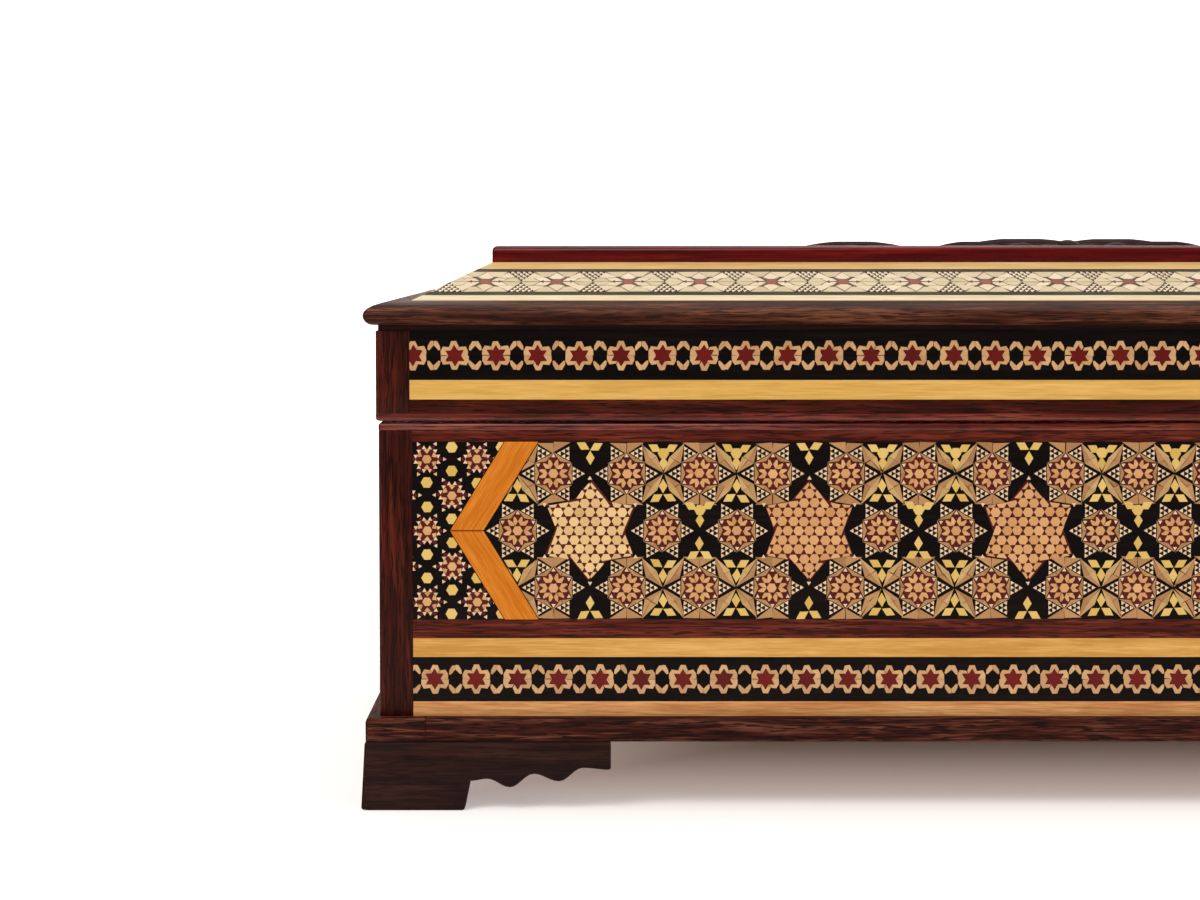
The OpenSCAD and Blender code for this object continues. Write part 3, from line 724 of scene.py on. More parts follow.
@dataclass
class MainMosaic:
    """The large star mosaic on the four walls of the base.

    Attributes:
        pitch: Spacing of the large stars.
        row: Distance of the outer rows of rosettes from the middle row.
        beside: Distance of the middle row's rosettes from a large star.
        ends: Length that one large star takes up with what lies between it and the chevrons.
        rod: Spacing of the rods in a large star.
        tip: Radius of a large star's tips.
        notch: Radius of its notches.
        border: Distance of a rosette's flat sides from its middle.
        lean: How far the chevrons' arms lean over half the panel's height.
        glue: Width of the dark line along the chevrons.
    """

    pitch: float = 44.0
    row: float = 11.5
    beside: float = 14.5
    ends: float = 42.0
    rod: float = 2.15
    tip: float = 10.2
    notch: float = 7.0
    border: float = 3.75
    lean: float = ARM_LEAN
    glue: float = 0.2
    woods: list[Tessera] = field(default_factory=lambda: [
        BOXWOOD, YELLOW_RODS, MAROON_RODS, BLACK_RODS, TAN_PETALS, OLIVE_KITES, BONE, PALE_RODS])

    def polar(self, radius: float, angle: float) -> tuple[float, float]:
        """Gives a point from its radius and its direction in radians."""
        return radius * math.cos(angle), radius * math.sin(angle)

    def large_star(self, wood: Tessera = BOXWOOD) -> bpy.types.Mesh:
        """Draws a large star: light rods on a maroon star, trimmed to its outline.

        Args:
            wood: Finish of the rods.

        Returns:
            The figure.
        """
        star = Motif(self.woods)
        outline = []
        for k in range(6):
            outline.append(self.polar(self.notch, k * SIXTH))
            outline.append(self.polar(self.tip, (k + 0.5) * SIXTH))
        star.patch(outline, MAROON_RODS, PLATE)
        reach = math.ceil(self.tip / self.rod) + 1
        places = [(self.rod * (i + j / 2), self.rod * j * math.sqrt(3) / 2)
                  for i in range(-reach, reach + 1) for j in range(-reach, reach + 1)]
        for sector in range(6):
            tip = self.polar(self.tip - 0.2, (sector + 0.5) * SIXTH)
            lines = []
            for notch, hand in ((sector, 1), (sector + 1, -1)):
                at = self.polar(self.notch - 0.2, notch * SIXTH)
                run = Vector((tip[0] - at[0], tip[1] - at[1])).normalized()
                lines.append((at, (run.y * hand, -run.x * hand)))
            rods = Motif(self.woods)
            for x, y in places:
                turn = (math.atan2(y, x) + 1e-4) % math.tau
                depth = max((x - at[0]) * n[0] + (y - at[1]) * n[1] for at, n in lines)
                if int(turn / SIXTH) == sector and depth < self.rod * 0.3:
                    rods.ngon(6, self.rod * 0.495, (x, y), 0, wood)
            for at, away in lines:
                rods.trim(at, away)
            laid = rods.mesh()
            star.bm.from_mesh(laid)
            bpy.data.meshes.remove(laid)
        for k in range(6):
            star.ngon(3, 0.5, self.polar(self.tip + 0.35, (k + 0.5) * SIXTH), (k + 0.5) * SIXTH, BONE)
        return star.mesh()

    def rosette(self) -> bpy.types.Mesh:
        """Draws a rosette: rods in a border of tan petals, and six clusters round it.

        Returns:
            The figure.
        """
        rosette = Motif(self.woods)
        corner = self.border / math.cos(SIXTH / 2)
        rosette.ngon(6, corner * 0.985, (0, 0), math.pi / 2, BLACK_RODS, PLATE)
        inner = []
        for k in range(6):
            inner.append(self.polar(self.border * 0.79, k * SIXTH))
            inner.append(self.polar(corner * 0.95, (k + 0.5) * SIXTH))
        rosette.patch(inner, MAROON_RODS, PIECE)
        for k in range(6):
            turn = k * SIXTH
            left, right = self.polar(corner, turn + SIXTH / 2), self.polar(corner, turn - SIXTH / 2)
            dip = self.polar(self.border * 0.76, turn)
            split = self.polar(self.border * 0.97, turn)
            rosette.patch([dip, right, split], TAN_PETALS, CAP)
            rosette.patch([dip, split, left], TAN_PETALS, CAP)
            ring = self.polar(2.18, turn)
            self.bitten_rod(rosette, ring, turn)
            rosette.ngon(3, 0.48, self.polar(3.55, turn + SIXTH / 2), turn + SIXTH / 2, BONE, CAP)
            rosette.cluster(self.polar(self.border + 0.08, turn), turn, 0.98, 3, BONE, BLACK_RODS)
        rosette.ngon(6, 1.02, (0, 0), 0, BOXWOOD, CAP)
        return rosette.mesh()

    def bitten_rod(self, motif: Motif, at: tuple[float, float], turn: float) -> None:
        """Lays a rod with a dark triangle let into its outer side, as two half pieces."""
        r = 1.02
        for hand in (-1, 1):
            half = [(-r, 0), (-r / 2, hand * r * 0.87), (r * 0.42, hand * r * 0.87),
                    (r * 0.7, hand * r * 0.62), (-0.2, 0)]
            c, s = math.cos(turn), math.sin(turn)
            motif.patch([(at[0] + x * c - y * s, at[1] + x * s + y * c) for x, y in half], BOXWOOD, CAP)

    def branch(self, up: int, fused: bool = False, middle: float = 4.1) -> bpy.types.Mesh:
        """Draws a yellow branch: three lozenges that meet over or under a crossing.

        Args:
            up: 1 to grow upwards, -1 downwards.
            fused: Whether a rod joins the lozenges into one figure.
            middle: Distance of the point where they meet from the crossing.

        Returns:
            The figure.
        """
        motif = Motif(self.woods)
        gap = 0.5 if fused else 0.12
        for k in (0, 1, 2):
            turn = up * (-math.pi / 2 + k * math.tau / 3)
            c, s = math.cos(turn), math.sin(turn)
            shape = [(gap, 0), (gap + 1.45, -0.86), (gap + 2.9, 0), (gap + 1.45, 0.86)]
            motif.patch([(x * c - y * s, up * middle + x * s + y * c) for x, y in shape], YELLOW_RODS)
        if fused:
            motif.ngon(6, 1.15, (0, up * middle), 0, YELLOW_RODS, CAP)
        return motif.mesh()

    def kite_cross(self) -> bpy.types.Mesh:
        """Draws the four folded kites that leave a crossing.

        Returns:
            The figure.
        """
        motif = Motif(self.woods)
        for kx in (-1, 1):
            for ky in (-1, 1):
                start, end = (kx * 0.1, ky * 0.2), (kx * 4.3, ky * 6.1)
                bend_in, bend_out = (kx * 1.25, ky * 3.4), (kx * 3.45, ky * 2.1)
                fold = (kx * 2.35, ky * 2.75)
                motif.patch([start, bend_out, fold], TAN_PETALS, PLATE)
                motif.patch([start, fold, bend_in], OLIVE_KITES, PLATE)
                motif.patch([fold, bend_out, end], TAN_PETALS, PLATE)
                motif.patch([fold, end, bend_in], OLIVE_KITES, PLATE)
        return motif.mesh()

    def edge_wedge(self, up: int) -> bpy.types.Mesh:
        """Draws the wide tan wedge over a rosette, in two halves.

        Args:
            up: 1 for a wedge over it, -1 for one under it.

        Returns:
            The figure.
        """
        motif = Motif(self.woods)
        tip, base = up * 4.05, up * 6.2
        motif.patch([(0, tip), (3.4, base), (0.05, base)], TAN_PETALS, PLATE)
        motif.patch([(0, tip), (-0.05, base), (-3.4, base)], TAN_PETALS, PLATE)
        return motif.mesh()

    def star_row(self, columns: list[float], y: float) -> list[tuple[bpy.types.Mesh, float, float]]:
        """Gives a row of large stars, with the rosettes and branches between them.

        Args:
            columns: Places of the stars along the row.
            y: Height of the row.

        Returns:
            Each figure with its place.
        """
        stars, rosette = (self.large_star(PALE_RODS), self.large_star()), self.rosette()
        fused, down = self.branch(1, True), self.branch(-1)
        stamps = []
        for k, x in enumerate(columns):
            # The first column lies past the end; from the second on, every third star is paler.
            star = stars[min((k + 2) % 3, 1)]
            stamps += [(star, x, y), (rosette, x - self.beside, y), (rosette, x + self.beside, y),
                       (fused, x + self.pitch / 2, y), (down, x + self.pitch / 2, y)]
        return stamps

    def rosette_row(self, columns: list[float], y: float) -> list[tuple[bpy.types.Mesh, float, float]]:
        """Gives a row of rosettes with wedges, and of crosses with branches.

        Args:
            columns: Places of the large stars in the rows beside it.
            y: Height of the row.

        Returns:
            Each figure with its place.
        """
        rosette, cross, down = self.rosette(), self.kite_cross(), self.branch(-1)
        up, wedges = self.branch(1, y > 0), (self.edge_wedge(1), self.edge_wedge(-1))
        third, stamps = self.pitch / 3, []
        for x in columns:
            for shift in (-third, third):
                stamps += [(cross, x + shift, y), (up, x + shift, y), (down, x + shift, y)]
            for shift in (-third / 2, third / 2, self.pitch / 2):
                stamps += [(figure, x + shift, y) for figure in (*wedges, rosette)]
        return stamps

    def lay_panel(self, inlay: Inlay, side: int) -> None:
        """Lays the mosaic of one wall.

        Args:
            inlay: The inlay that takes it.
            side: Which wall.
        """
        low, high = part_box("mosaic_" + SIDES[side])
        axis = side % 2
        out = max(abs(low[1 - axis]), abs(high[1 - axis]))
        half, tall = (high[axis] - low[axis]) / 2 / MM, (high.z - low.z) / MM
        facing = Facing(side, out, (low.z + high.z) / 2)
        stars = 1 + math.floor((half * 2 - self.ends) / self.pitch)
        columns = [(k - (stars - 1) / 2) * self.pitch for k in range(-1, stars + 1)]
        stamps = self.star_row(columns, 0)
        for y in (self.row, -self.row):
            stamps += self.rosette_row(columns, y)
        lone, lone_down = self.branch(1, middle=4.7), self.branch(-1, middle=4.7)
        for x in columns:
            stamps += [(lone, x, self.row), (lone_down, x, -self.row)]
        slant = Vector((tall / 2, self.lean)).normalized()
        half -= self.glue
        edges = [((0, tall / 2), (0, 1)), ((0, -tall / 2), (0, -1))]
        for hand in (-1, 1):
            edges += [((hand * half, 0), (hand * slant.x, slant.y)),
                      ((hand * half, 0), (hand * slant.x, -slant.y))]
        inlay.lay(facing, stamps, edges)


@dataclass
class EndMosaic:
    """The small stars between the posts and the chevrons.

    Attributes:
        wide: Spacing of the stars along the panel.
        tall: Spacing of the stars up the panel.
        first: Distance of the first stars from the post.
        lean: How far the chevrons' arms lean over half the panel's height.
        glue: Width of the dark line along the chevrons.
    """

    wide: float = 10.0
    tall: float = 14.4
    first: float = 2.9
    lean: float = ARM_LEAN
    glue: float = 0.2
    woods: list[Tessera] = field(default_factory=lambda: [BOXWOOD, YELLOW_RODS, MAROON_RODS, BONE])

    def star(self) -> bpy.types.Mesh:
        """Draws a small star: a rod, six kites and bone tips on maroon.

        Returns:
            The figure.
        """
        motif = Motif(self.woods)
        outline = []
        for k in range(6):
            outline.append((3.3 * math.cos(k * SIXTH), 3.3 * math.sin(k * SIXTH)))
            outline.append((2.15 * math.cos((k + 0.5) * SIXTH), 2.15 * math.sin((k + 0.5) * SIXTH)))
        motif.patch(outline, MAROON_RODS, PLATE)
        motif.ngon(6, 0.95, (0, 0), 0, BOXWOOD)
        for k in range(6):
            turn = k * SIXTH
            kite = [(1.1, 0), (1.85, -0.62), (2.06, 0), (1.85, 0.62)]
            motif.patch(kite, BOXWOOD, PIECE, turn + SIXTH / 2)
            for hand in (-1, 1):
                at = (2.35 * math.cos(turn + hand * 0.27), 2.35 * math.sin(turn + hand * 0.27))
                motif.ngon(3, 0.5, at, turn + hand * 0.5, BONE)
            motif.ngon(3, 0.46, (3.5 * math.cos(turn), 3.5 * math.sin(turn)), turn, BONE)
        return motif.mesh()

    def dots(self) -> bpy.types.Mesh:
        """Draws a pair of yellow hexagons, one over the other.

        Returns:
            The figure.
        """
        motif = Motif(self.woods)
        for y in (-2.35, 2.35):
            motif.ngon(6, 1.2, (0, y), 0, YELLOW_RODS)
        return motif.mesh()

    def lay_ends(self, inlay: Inlay, side: int) -> None:
        """Lays both ends of one wall.

        Args:
            inlay: The inlay that takes them.
            side: Which wall.
        """
        low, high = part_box("end_mosaics")
        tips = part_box("mosaic_" + SIDES[side])
        axis = side % 2
        half = (high[axis] - low[axis]) / 2 / MM - POST_FACE
        tall = (high.z - low.z) / MM
        tip = tips[1][axis] / MM + ARM_WIDE
        facing = Facing(side, high[1 - axis], (low.z + high.z) / 2)
        star, dots = self.star(), self.dots()
        slant = Vector((tall / 2, self.lean)).normalized()
        columns = math.ceil((half - tip + self.lean) / self.wide * 2) + 1
        for hand in (-1, 1):
            stamps = []
            for c in range(-1, columns):
                x = hand * (half - self.first - c * self.wide / 2)
                for r in range(-2, 3):
                    y = (r + (0.5 if c % 2 else 0)) * self.tall
                    stamps += [(star, x, y), (dots, x, y + self.tall / 2)]
            edges = [((0, tall / 2), (0, 1)), ((0, -tall / 2), (0, -1)), ((hand * half, 0), (hand, 0))]
            # The field between post and chevron is notched at the chevron's tip, so it is laid as
            # an upper and a lower half.
            for rise in (-1, 1):
                inlay.lay(facing, stamps, [*edges, ((0, 0), (0, -rise)),
                                           ((hand * (tip + self.glue), 0),
                                            (-hand * slant.x, -rise * slant.y))])


@dataclass
class ChainBand:
    """The chain of red stars and black lozenges on the base and the lid.

    Attributes:
        node: The CAD node that carries it.
        body: The body that it rides on.
        shift: How far the first star is shifted along the band.
        period: Spacing of the stars.
    """

    node: str
    body: str
    shift: float = 0.0
    period: float = 8.32
    woods: list[Tessera] = field(default_factory=lambda: [RED_STARS, CHAIN_STRIPS])

    def link(self) -> bpy.types.Mesh:
        """Draws one link: a red star in a light outline, and the two caps of a lozenge beside it.

        Returns:
            The figure.
        """
        motif = Motif(self.woods)
        tip, notch = 2.12, 1.24
        star = []
        for k in range(12):
            r = tip if k % 2 else notch
            star.append((r * math.cos(k * SIXTH / 2), r * math.sin(k * SIXTH / 2)))
        motif.patch(star, RED_STARS, CAP)
        c, s = math.cos(SIXTH / 2), math.sin(SIXTH / 2)
        for k in range(6):
            # The outline reaches out to the lozenge on both sides of the star.
            first, last = (2.74 if direction % 3 == 0 else 1.98 for direction in (k, k + 1))
            shape = [(notch * c, -notch * s), (first * c, -first * s), (2.9, -0.5), (2.9, 0.5),
                     (last * c, last * s), (notch * c, notch * s), (tip, 0)]
            motif.patch(shape, CHAIN_STRIPS, PIECE, (k + 0.5) * SIXTH)
        mid = self.period / 2
        for rise in (-1, 1):
            for hand in (-1, 1):
                half = [(0, 1.98), (0.98, 1.0), (1.3, 1.15), (1.22, 1.85), (0.6, 2.85), (0, 2.85)]
                motif.patch([(mid + hand * x, rise * y) for x, y in half], CHAIN_STRIPS, PLATE)
        return motif.mesh()

    def place(self, name: str, seed: int) -> None:
        """Lays the band round the box and places it as one piece.

        Args:
            name: Name of the piece.
            seed: Seed of its small irregularities.
        """
        inlay = Inlay(name, self.woods, self.body, "light_wood", seed)
        low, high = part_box(self.node)
        tall = (high.z - low.z) / MM
        figure = self.link()
        for side in range(4):
            axis = side % 2
            half = (high[axis] - low[axis]) / 2 / MM - POST_FACE
            facing = Facing(side, high[1 - axis], (low.z + high.z) / 2)
            count = math.ceil(half / self.period) + 1
            stamps = [(figure, k * self.period + self.shift, 0) for k in range(-count, count + 1)]
            edges = [((half, 0), (1, 0)), ((-half, 0), (-1, 0)), ((0, tall / 2), (0, 1)),
                     ((0, -tall / 2), (0, -1))]
            inlay.lay(facing, stamps, edges)
        inlay.place()


@dataclass
class SlopeMosaic:
    """The pale mosaic on the lid's four slopes.

    Attributes:
        period: Spacing of the stars.
        wide: Width of the band up the slope.
    """

    period: float = 14.6
    wide: float = 9.2
    woods: list[Tessera] = field(default_factory=lambda: [
        SLOPE_CORE, SLOPE_ARMS, SLOPE_PETALS, SLOPE_GREEN, SLOPE_CHECKS])

    def star(self) -> bpy.types.Mesh:
        """Draws a six-armed star and the pale pieces round it.

        Returns:
            The figure.
        """
        motif = Motif(self.woods)
        for up in (-1, 1):
            motif.patch([(0, up * 0.8), (1.6, up * 2.1), (0, up * 4.2), (-1.6, up * 2.1)], SLOPE_PETALS,
                        PLATE)
            for hand in (-1, 1):
                for shape, wood in (
                    ([(1.0, 0.1), (2.25, 1.75), (4.5, 1.55), (3.3, 0.1)], SLOPE_PETALS),
                    ([(0.12, 4.35), (1.72, 2.25), (3.0, 2.4), (4.35, 4.5), (0.12, 4.5)], SLOPE_GREEN),
                    ([(2.45, 1.85), (4.6, 1.65), (6.1, 2.0), (4.75, 4.2)], SLOPE_PETALS),
                    ([(4.75, 1.45), (3.5, 0.1), (7.2, 0.1), (6.3, 1.8)], SLOPE_GREEN),
                ):
                    motif.patch([(hand * x, up * y) for x, y in shape], wood, PLATE)
                for shape in ([(0.8, 0.7), (1.15, 0.45), (2.1, 1.75), (1.8, 2.0)],
                              [(1.7, 1.75), (2.05, 1.6), (2.6, 1.95), (1.7, 2.25)]):
                    motif.patch([(hand * x, up * y) for x, y in shape], SLOPE_ARMS, CAP)
        motif.patch([(1.2, 0.75), (0.75, 1.2), (-0.75, 1.2), (-1.2, 0.75), (-1.2, -0.75), (-0.75, -1.2),
                     (0.75, -1.2), (1.2, -0.75)], SLOPE_CORE, CAP)
        for hand in (-1, 1):
            motif.patch([(hand * x, y) for x, y in
                         ((1.1, -0.2), (2.7, -0.15), (2.7, -0.6), (3.6, 0), (2.7, 0.6), (2.7, 0.15),
                          (1.1, 0.2))], SLOPE_ARMS, CAP)
        return motif.mesh()

    def checks(self) -> bpy.types.Mesh:
        """Draws the two checkered wedges between stars, tip to tip.

        Returns:
            The figure.
        """
        motif = Motif(self.woods)
        cell, rows = 1.16, 5
        rise = (self.wide / 2 - 0.2) / rows
        for up in (-1, 1):
            motif.patch([(-2.75, up * self.wide / 2), (0, up * 0.25), (2.75, up * self.wide / 2)],
                        SLOPE_PETALS, PLATE)
            for row in range(rows):
                low = up * (self.wide / 2 - row * rise)
                count = rows - row
                for k in range(count):
                    x = cell * (k - (count - 1) / 2)
                    motif.patch([(x - cell * 0.5, low), (x + cell * 0.3, low),
                                 (x + cell * 0.12, low - up * rise)], SLOPE_CHECKS)
        return motif.mesh()

    def place(self) -> None:
        """Lays the mosaic on all four slopes as one piece."""
        inlay = Inlay("slope_inlay", self.woods, "lid", "pale_mosaic", 51)
        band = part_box("slope_mosaic_bands")
        slope = math.atan2(SLOPE_RISE, SLOPE_RUN)
        thick = VENEER_THICK * MM
        low_z = band[0].z + thick * math.cos(slope)
        rise = (self.wide / 2) * MM
        star, checks = self.star(), self.checks()
        for side in range(4):
            axis = side % 2
            along = band[1][axis] / MM
            facing = Facing(side, band[1][1 - axis] - rise * math.cos(slope),
                            low_z + rise * math.sin(slope), math.pi / 2 - slope)
            middle = along - self.wide / 2 * math.cos(slope)
            count = math.ceil(along / self.period) + 1
            stamps = []
            for k in range(-count, count + 1):
                stamps += [(star, k * self.period, 0), (checks, (k + 0.5) * self.period, 0)]
            edges = [((0, self.wide / 2), (0, 1)), ((0, -self.wide / 2), (0, -1))]
            # The hip runs inwards as fast as the slope runs level.
            hip = Vector((1, math.cos(slope))).normalized()
            for hand in (-1, 1):
                edges.append(((hand * middle, 0), (hand * hip.x, hip.y)))
            inlay.lay(facing, stamps, edges)
        inlay.place()


@dataclass
class TopMosaic:
    """The field inside the rim: the walls' mosaic, row over row.

    Attributes:
        pieces: Number of pieces that the field is sawn into along the box.
    """

    pieces: int = 3
    parts: MainMosaic = field(default_factory=MainMosaic)

    def place(self) -> None:
        """Lays the field, sawn across into a few pieces as veneer is."""
        _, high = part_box("top_mosaic")
        half_x, half_y = high.x / MM, high.y / MM
        facing = Facing(0, 0.0, high.z, math.pi / 2)
        pitch, row = self.parts.pitch, self.parts.row
        reach = math.ceil(half_y / row)
        width = 2 * half_x / self.pieces
        for piece in range(self.pieces):
            left = -half_x + piece * width
            first = math.floor(left / pitch - 0.5)
            last = math.ceil((left + width) / pitch + 0.5)
            columns = [k * pitch for k in range(first, last + 1)]
            stamps = []
            for step in range(-reach, reach + 1):
                make = self.parts.rosette_row if step % 2 else self.parts.star_row
                stamps += make(columns, step * row)
            inlay = Inlay("top_inlay_%d" % piece, self.parts.woods, "lid", "mosaic", 61 + piece)
            edges = [((left + width, 0), (1, 0)), ((left, 0), (-1, 0)), ((0, half_y), (0, 1)),
                     ((0, -half_y), (0, -1))]
            inlay.lay(facing, stamps, edges)
            inlay.place()


@dataclass
class Carving:
    """The carved leaves and boss on the lid, which replace their plain solids.

    Attributes:
        leaf: Length and width of a tall leaf, in millimetres.
        height: Height of the two tall leaves.
        low: Height of the leaves round them.
        row: Distance of each row of leaves from the middle.
        gap: Gap between leaves that follow each other.
        boss: Radius of the middle boss.
    """

    leaf: tuple[float, float] = (36.0, 16.0)
    height: float = 5.0
    low: float = 4.4
    row: float = 10.5
    gap: float = 1.5
    boss: float = 4.4

    def shape_leaf(self, bm: bmesh.types.BMesh, length: float, width: float, height: float,
                   place: Matrix, lobes: int) -> None:
        """Carves one leaf from a grid: a rounded back, a midrib, side veins and a lobed edge.

        Args:
            bm: The mesh that takes it.
            length: Length of the leaf.
            width: Its greatest width.
            height: Its greatest height.
            place: Where it lies, in millimetres.
            lobes: Number of lobes on each edge.
        """
        rows, half_columns = 48, 12
        made = bmesh.ops.create_grid(bm, x_segments=rows, y_segments=2 * half_columns, size=1.0)
        verts = made["verts"]
        for v in verts:
            s, t = (v.co.x + 1) / 2, v.co.y
            body = math.sin(math.pi * s) ** 0.75
            lobe = 1 - 0.11 * (0.5 + 0.5 * math.cos(math.tau * (lobes * s + 0.25)))
            across = t * width / 2 * body * lobe
            back = math.sqrt(max(1 - abs(t) ** 2.2, 0)) * body**0.55
            rib = 0.22 * math.exp(-((t / 0.09) ** 2)) - 0.16 * math.exp(-(((abs(t) - 0.2) / 0.12) ** 2))
            vein = 0.085 * math.cos(math.tau * (lobes * s * 1.0 - abs(t) * 1.1)) * min(abs(t) * 3, 1)
            lift = height * max(back * (0.82 + rib + vein), 0)
            v.co = Vector(((s - 0.5) * length, across, min(lift, height)))
        rim = [e for e in bm.edges if e.is_boundary and e.verts[0] in set(verts)]
        skirt = bmesh.ops.extrude_edge_only(bm, edges=rim)
        low = [g for g in skirt["geom"] if isinstance(g, bmesh.types.BMVert)]
        for v in low:
            v.co.z = 0.0
        bmesh.ops.contextual_create(bm, geom=[e for e in bm.edges if e.is_boundary])
        bmesh.ops.transform(bm, matrix=place, verts=list(set(verts) | set(low)))

    def one_leaf(self, length: float, width: float, height: float, place: Matrix,
                 lobes: int = 5) -> bpy.types.Mesh:
        """Carves one leaf by itself, so that its points can be merged.

        Args:
            length: Length of the leaf.
            width: Its greatest width.
            height: Its greatest height.
            place: Where it lies, in millimetres.
            lobes: Number of lobes on each edge.

        Returns:
            The leaf.
        """
        bm = bmesh.new()
        self.shape_leaf(bm, length, width, height, place, lobes)
        bmesh.ops.remove_doubles(bm, verts=list(bm.verts), dist=0.01)
        bmesh.ops.recalc_face_normals(bm, faces=list(bm.faces))
        mesh = bpy.data.meshes.new("leaf")
        bm.to_mesh(mesh)
        bm.free()
        return mesh

    def place(self) -> None:
        """Carves the ornament and lays it on the lid."""
        low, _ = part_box("carved_ornament")
        length, width = self.leaf
        outer, short = length * 0.92, length * 0.7
        tall_x = -length / 3
        leaves = [
            (length, width, self.height, tall_x, -self.row, 5),
            (short, width * 0.7, self.low, tall_x + length / 2 + self.gap + short / 2, -self.row, 4),
            (outer, width * 0.9, self.low, tall_x - length / 2 - 2 * self.gap - outer / 2, 0.0, 5),
        ]
        bm = bmesh.new()
        for turn in (0, math.pi):
            spin = Matrix.Rotation(turn, 4, "Z")
            for long, wide, high, x, y, lobes in leaves:
                part = self.one_leaf(long, wide, high, spin @ Matrix.Translation((x, y, 0)), lobes)
                bm.from_mesh(part)
                bpy.data.meshes.remove(part)
        boss = bmesh.ops.create_uvsphere(bm, u_segments=32, v_segments=16, radius=self.boss)["verts"]
        bmesh.ops.translate(bm, vec=(0, 0, self.height - self.boss - 0.2), verts=boss)
        edges = list({e for v in boss for e in v.link_edges})
        faces = list({f for v in boss for f in v.link_faces})
        bmesh.ops.bisect_plane(bm, geom=boss + edges + faces, plane_co=(0, 0, 0), plane_no=(0, 0, -1),
                               clear_outer=True)
        bmesh.ops.contextual_create(bm, geom=[e for e in bm.edges if e.is_boundary])
        bm.transform(Matrix.Translation((0, 0, low.z)) @ Matrix.Scale(MM, 4))
        bmesh.ops.recalc_face_normals(bm, faces=list(bm.faces))
        for face in bm.faces:
            face.smooth = True
        mesh = bpy.data.meshes.new("carving")
        bm.to_mesh(mesh)
        bm.free()
        mesh.materials.append(FINISHES.get(WALNUT))
        piece = place_piece(mesh, "carving", "lid")
        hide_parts("carved_ornament")


@dataclass
class EasedWork:
    """Solid timber whose edges are eased by sanding, made from the CAD solids.

    Attributes:
        node: The CAD node.
        finish: Its timber.
        body: The body that it rides on.
        slot: The record's material slot; not used.
        ease: Radius of the eased edges, in millimetres.
    """

    node: str
    finish: Timber
    body: str
    slot: str
    ease: float = 0.3

    def place(self) -> None:
        """Copies the node, merges its triangles into flat faces and rounds its edges."""
        bm = bmesh.new()
        bm.from_mesh(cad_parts[self.node].data)
        bmesh.ops.remove_doubles(bm, verts=list(bm.verts), dist=2e-6)
        bmesh.ops.dissolve_limit(bm, angle_limit=math.radians(0.5), verts=list(bm.verts),
                                 edges=list(bm.edges))
        bmesh.ops.recalc_face_normals(bm, faces=list(bm.faces))
        sharp = [e for e in bm.edges if len(e.link_faces) == 2 and e.is_convex
                 and e.calc_face_angle(0) > math.radians(30)]
        bmesh.ops.bevel(bm, geom=sharp, offset=self.ease * MM, offset_type="OFFSET", segments=2,
                        profile=0.5, affect="EDGES", clamp_overlap=True, material=-1)
        for face in bm.faces:
            face.smooth = True
        for edge in bm.edges:
            edge.smooth = edge.calc_face_angle(0) < math.radians(32)
        mesh = bpy.data.meshes.new(self.node + "_eased")
        bm.to_mesh(mesh)
        bm.free()
        mesh.materials.append(FINISHES.get(self.finish))
        piece = place_piece(mesh, self.node + "_eased", self.body)
        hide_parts(self.node)


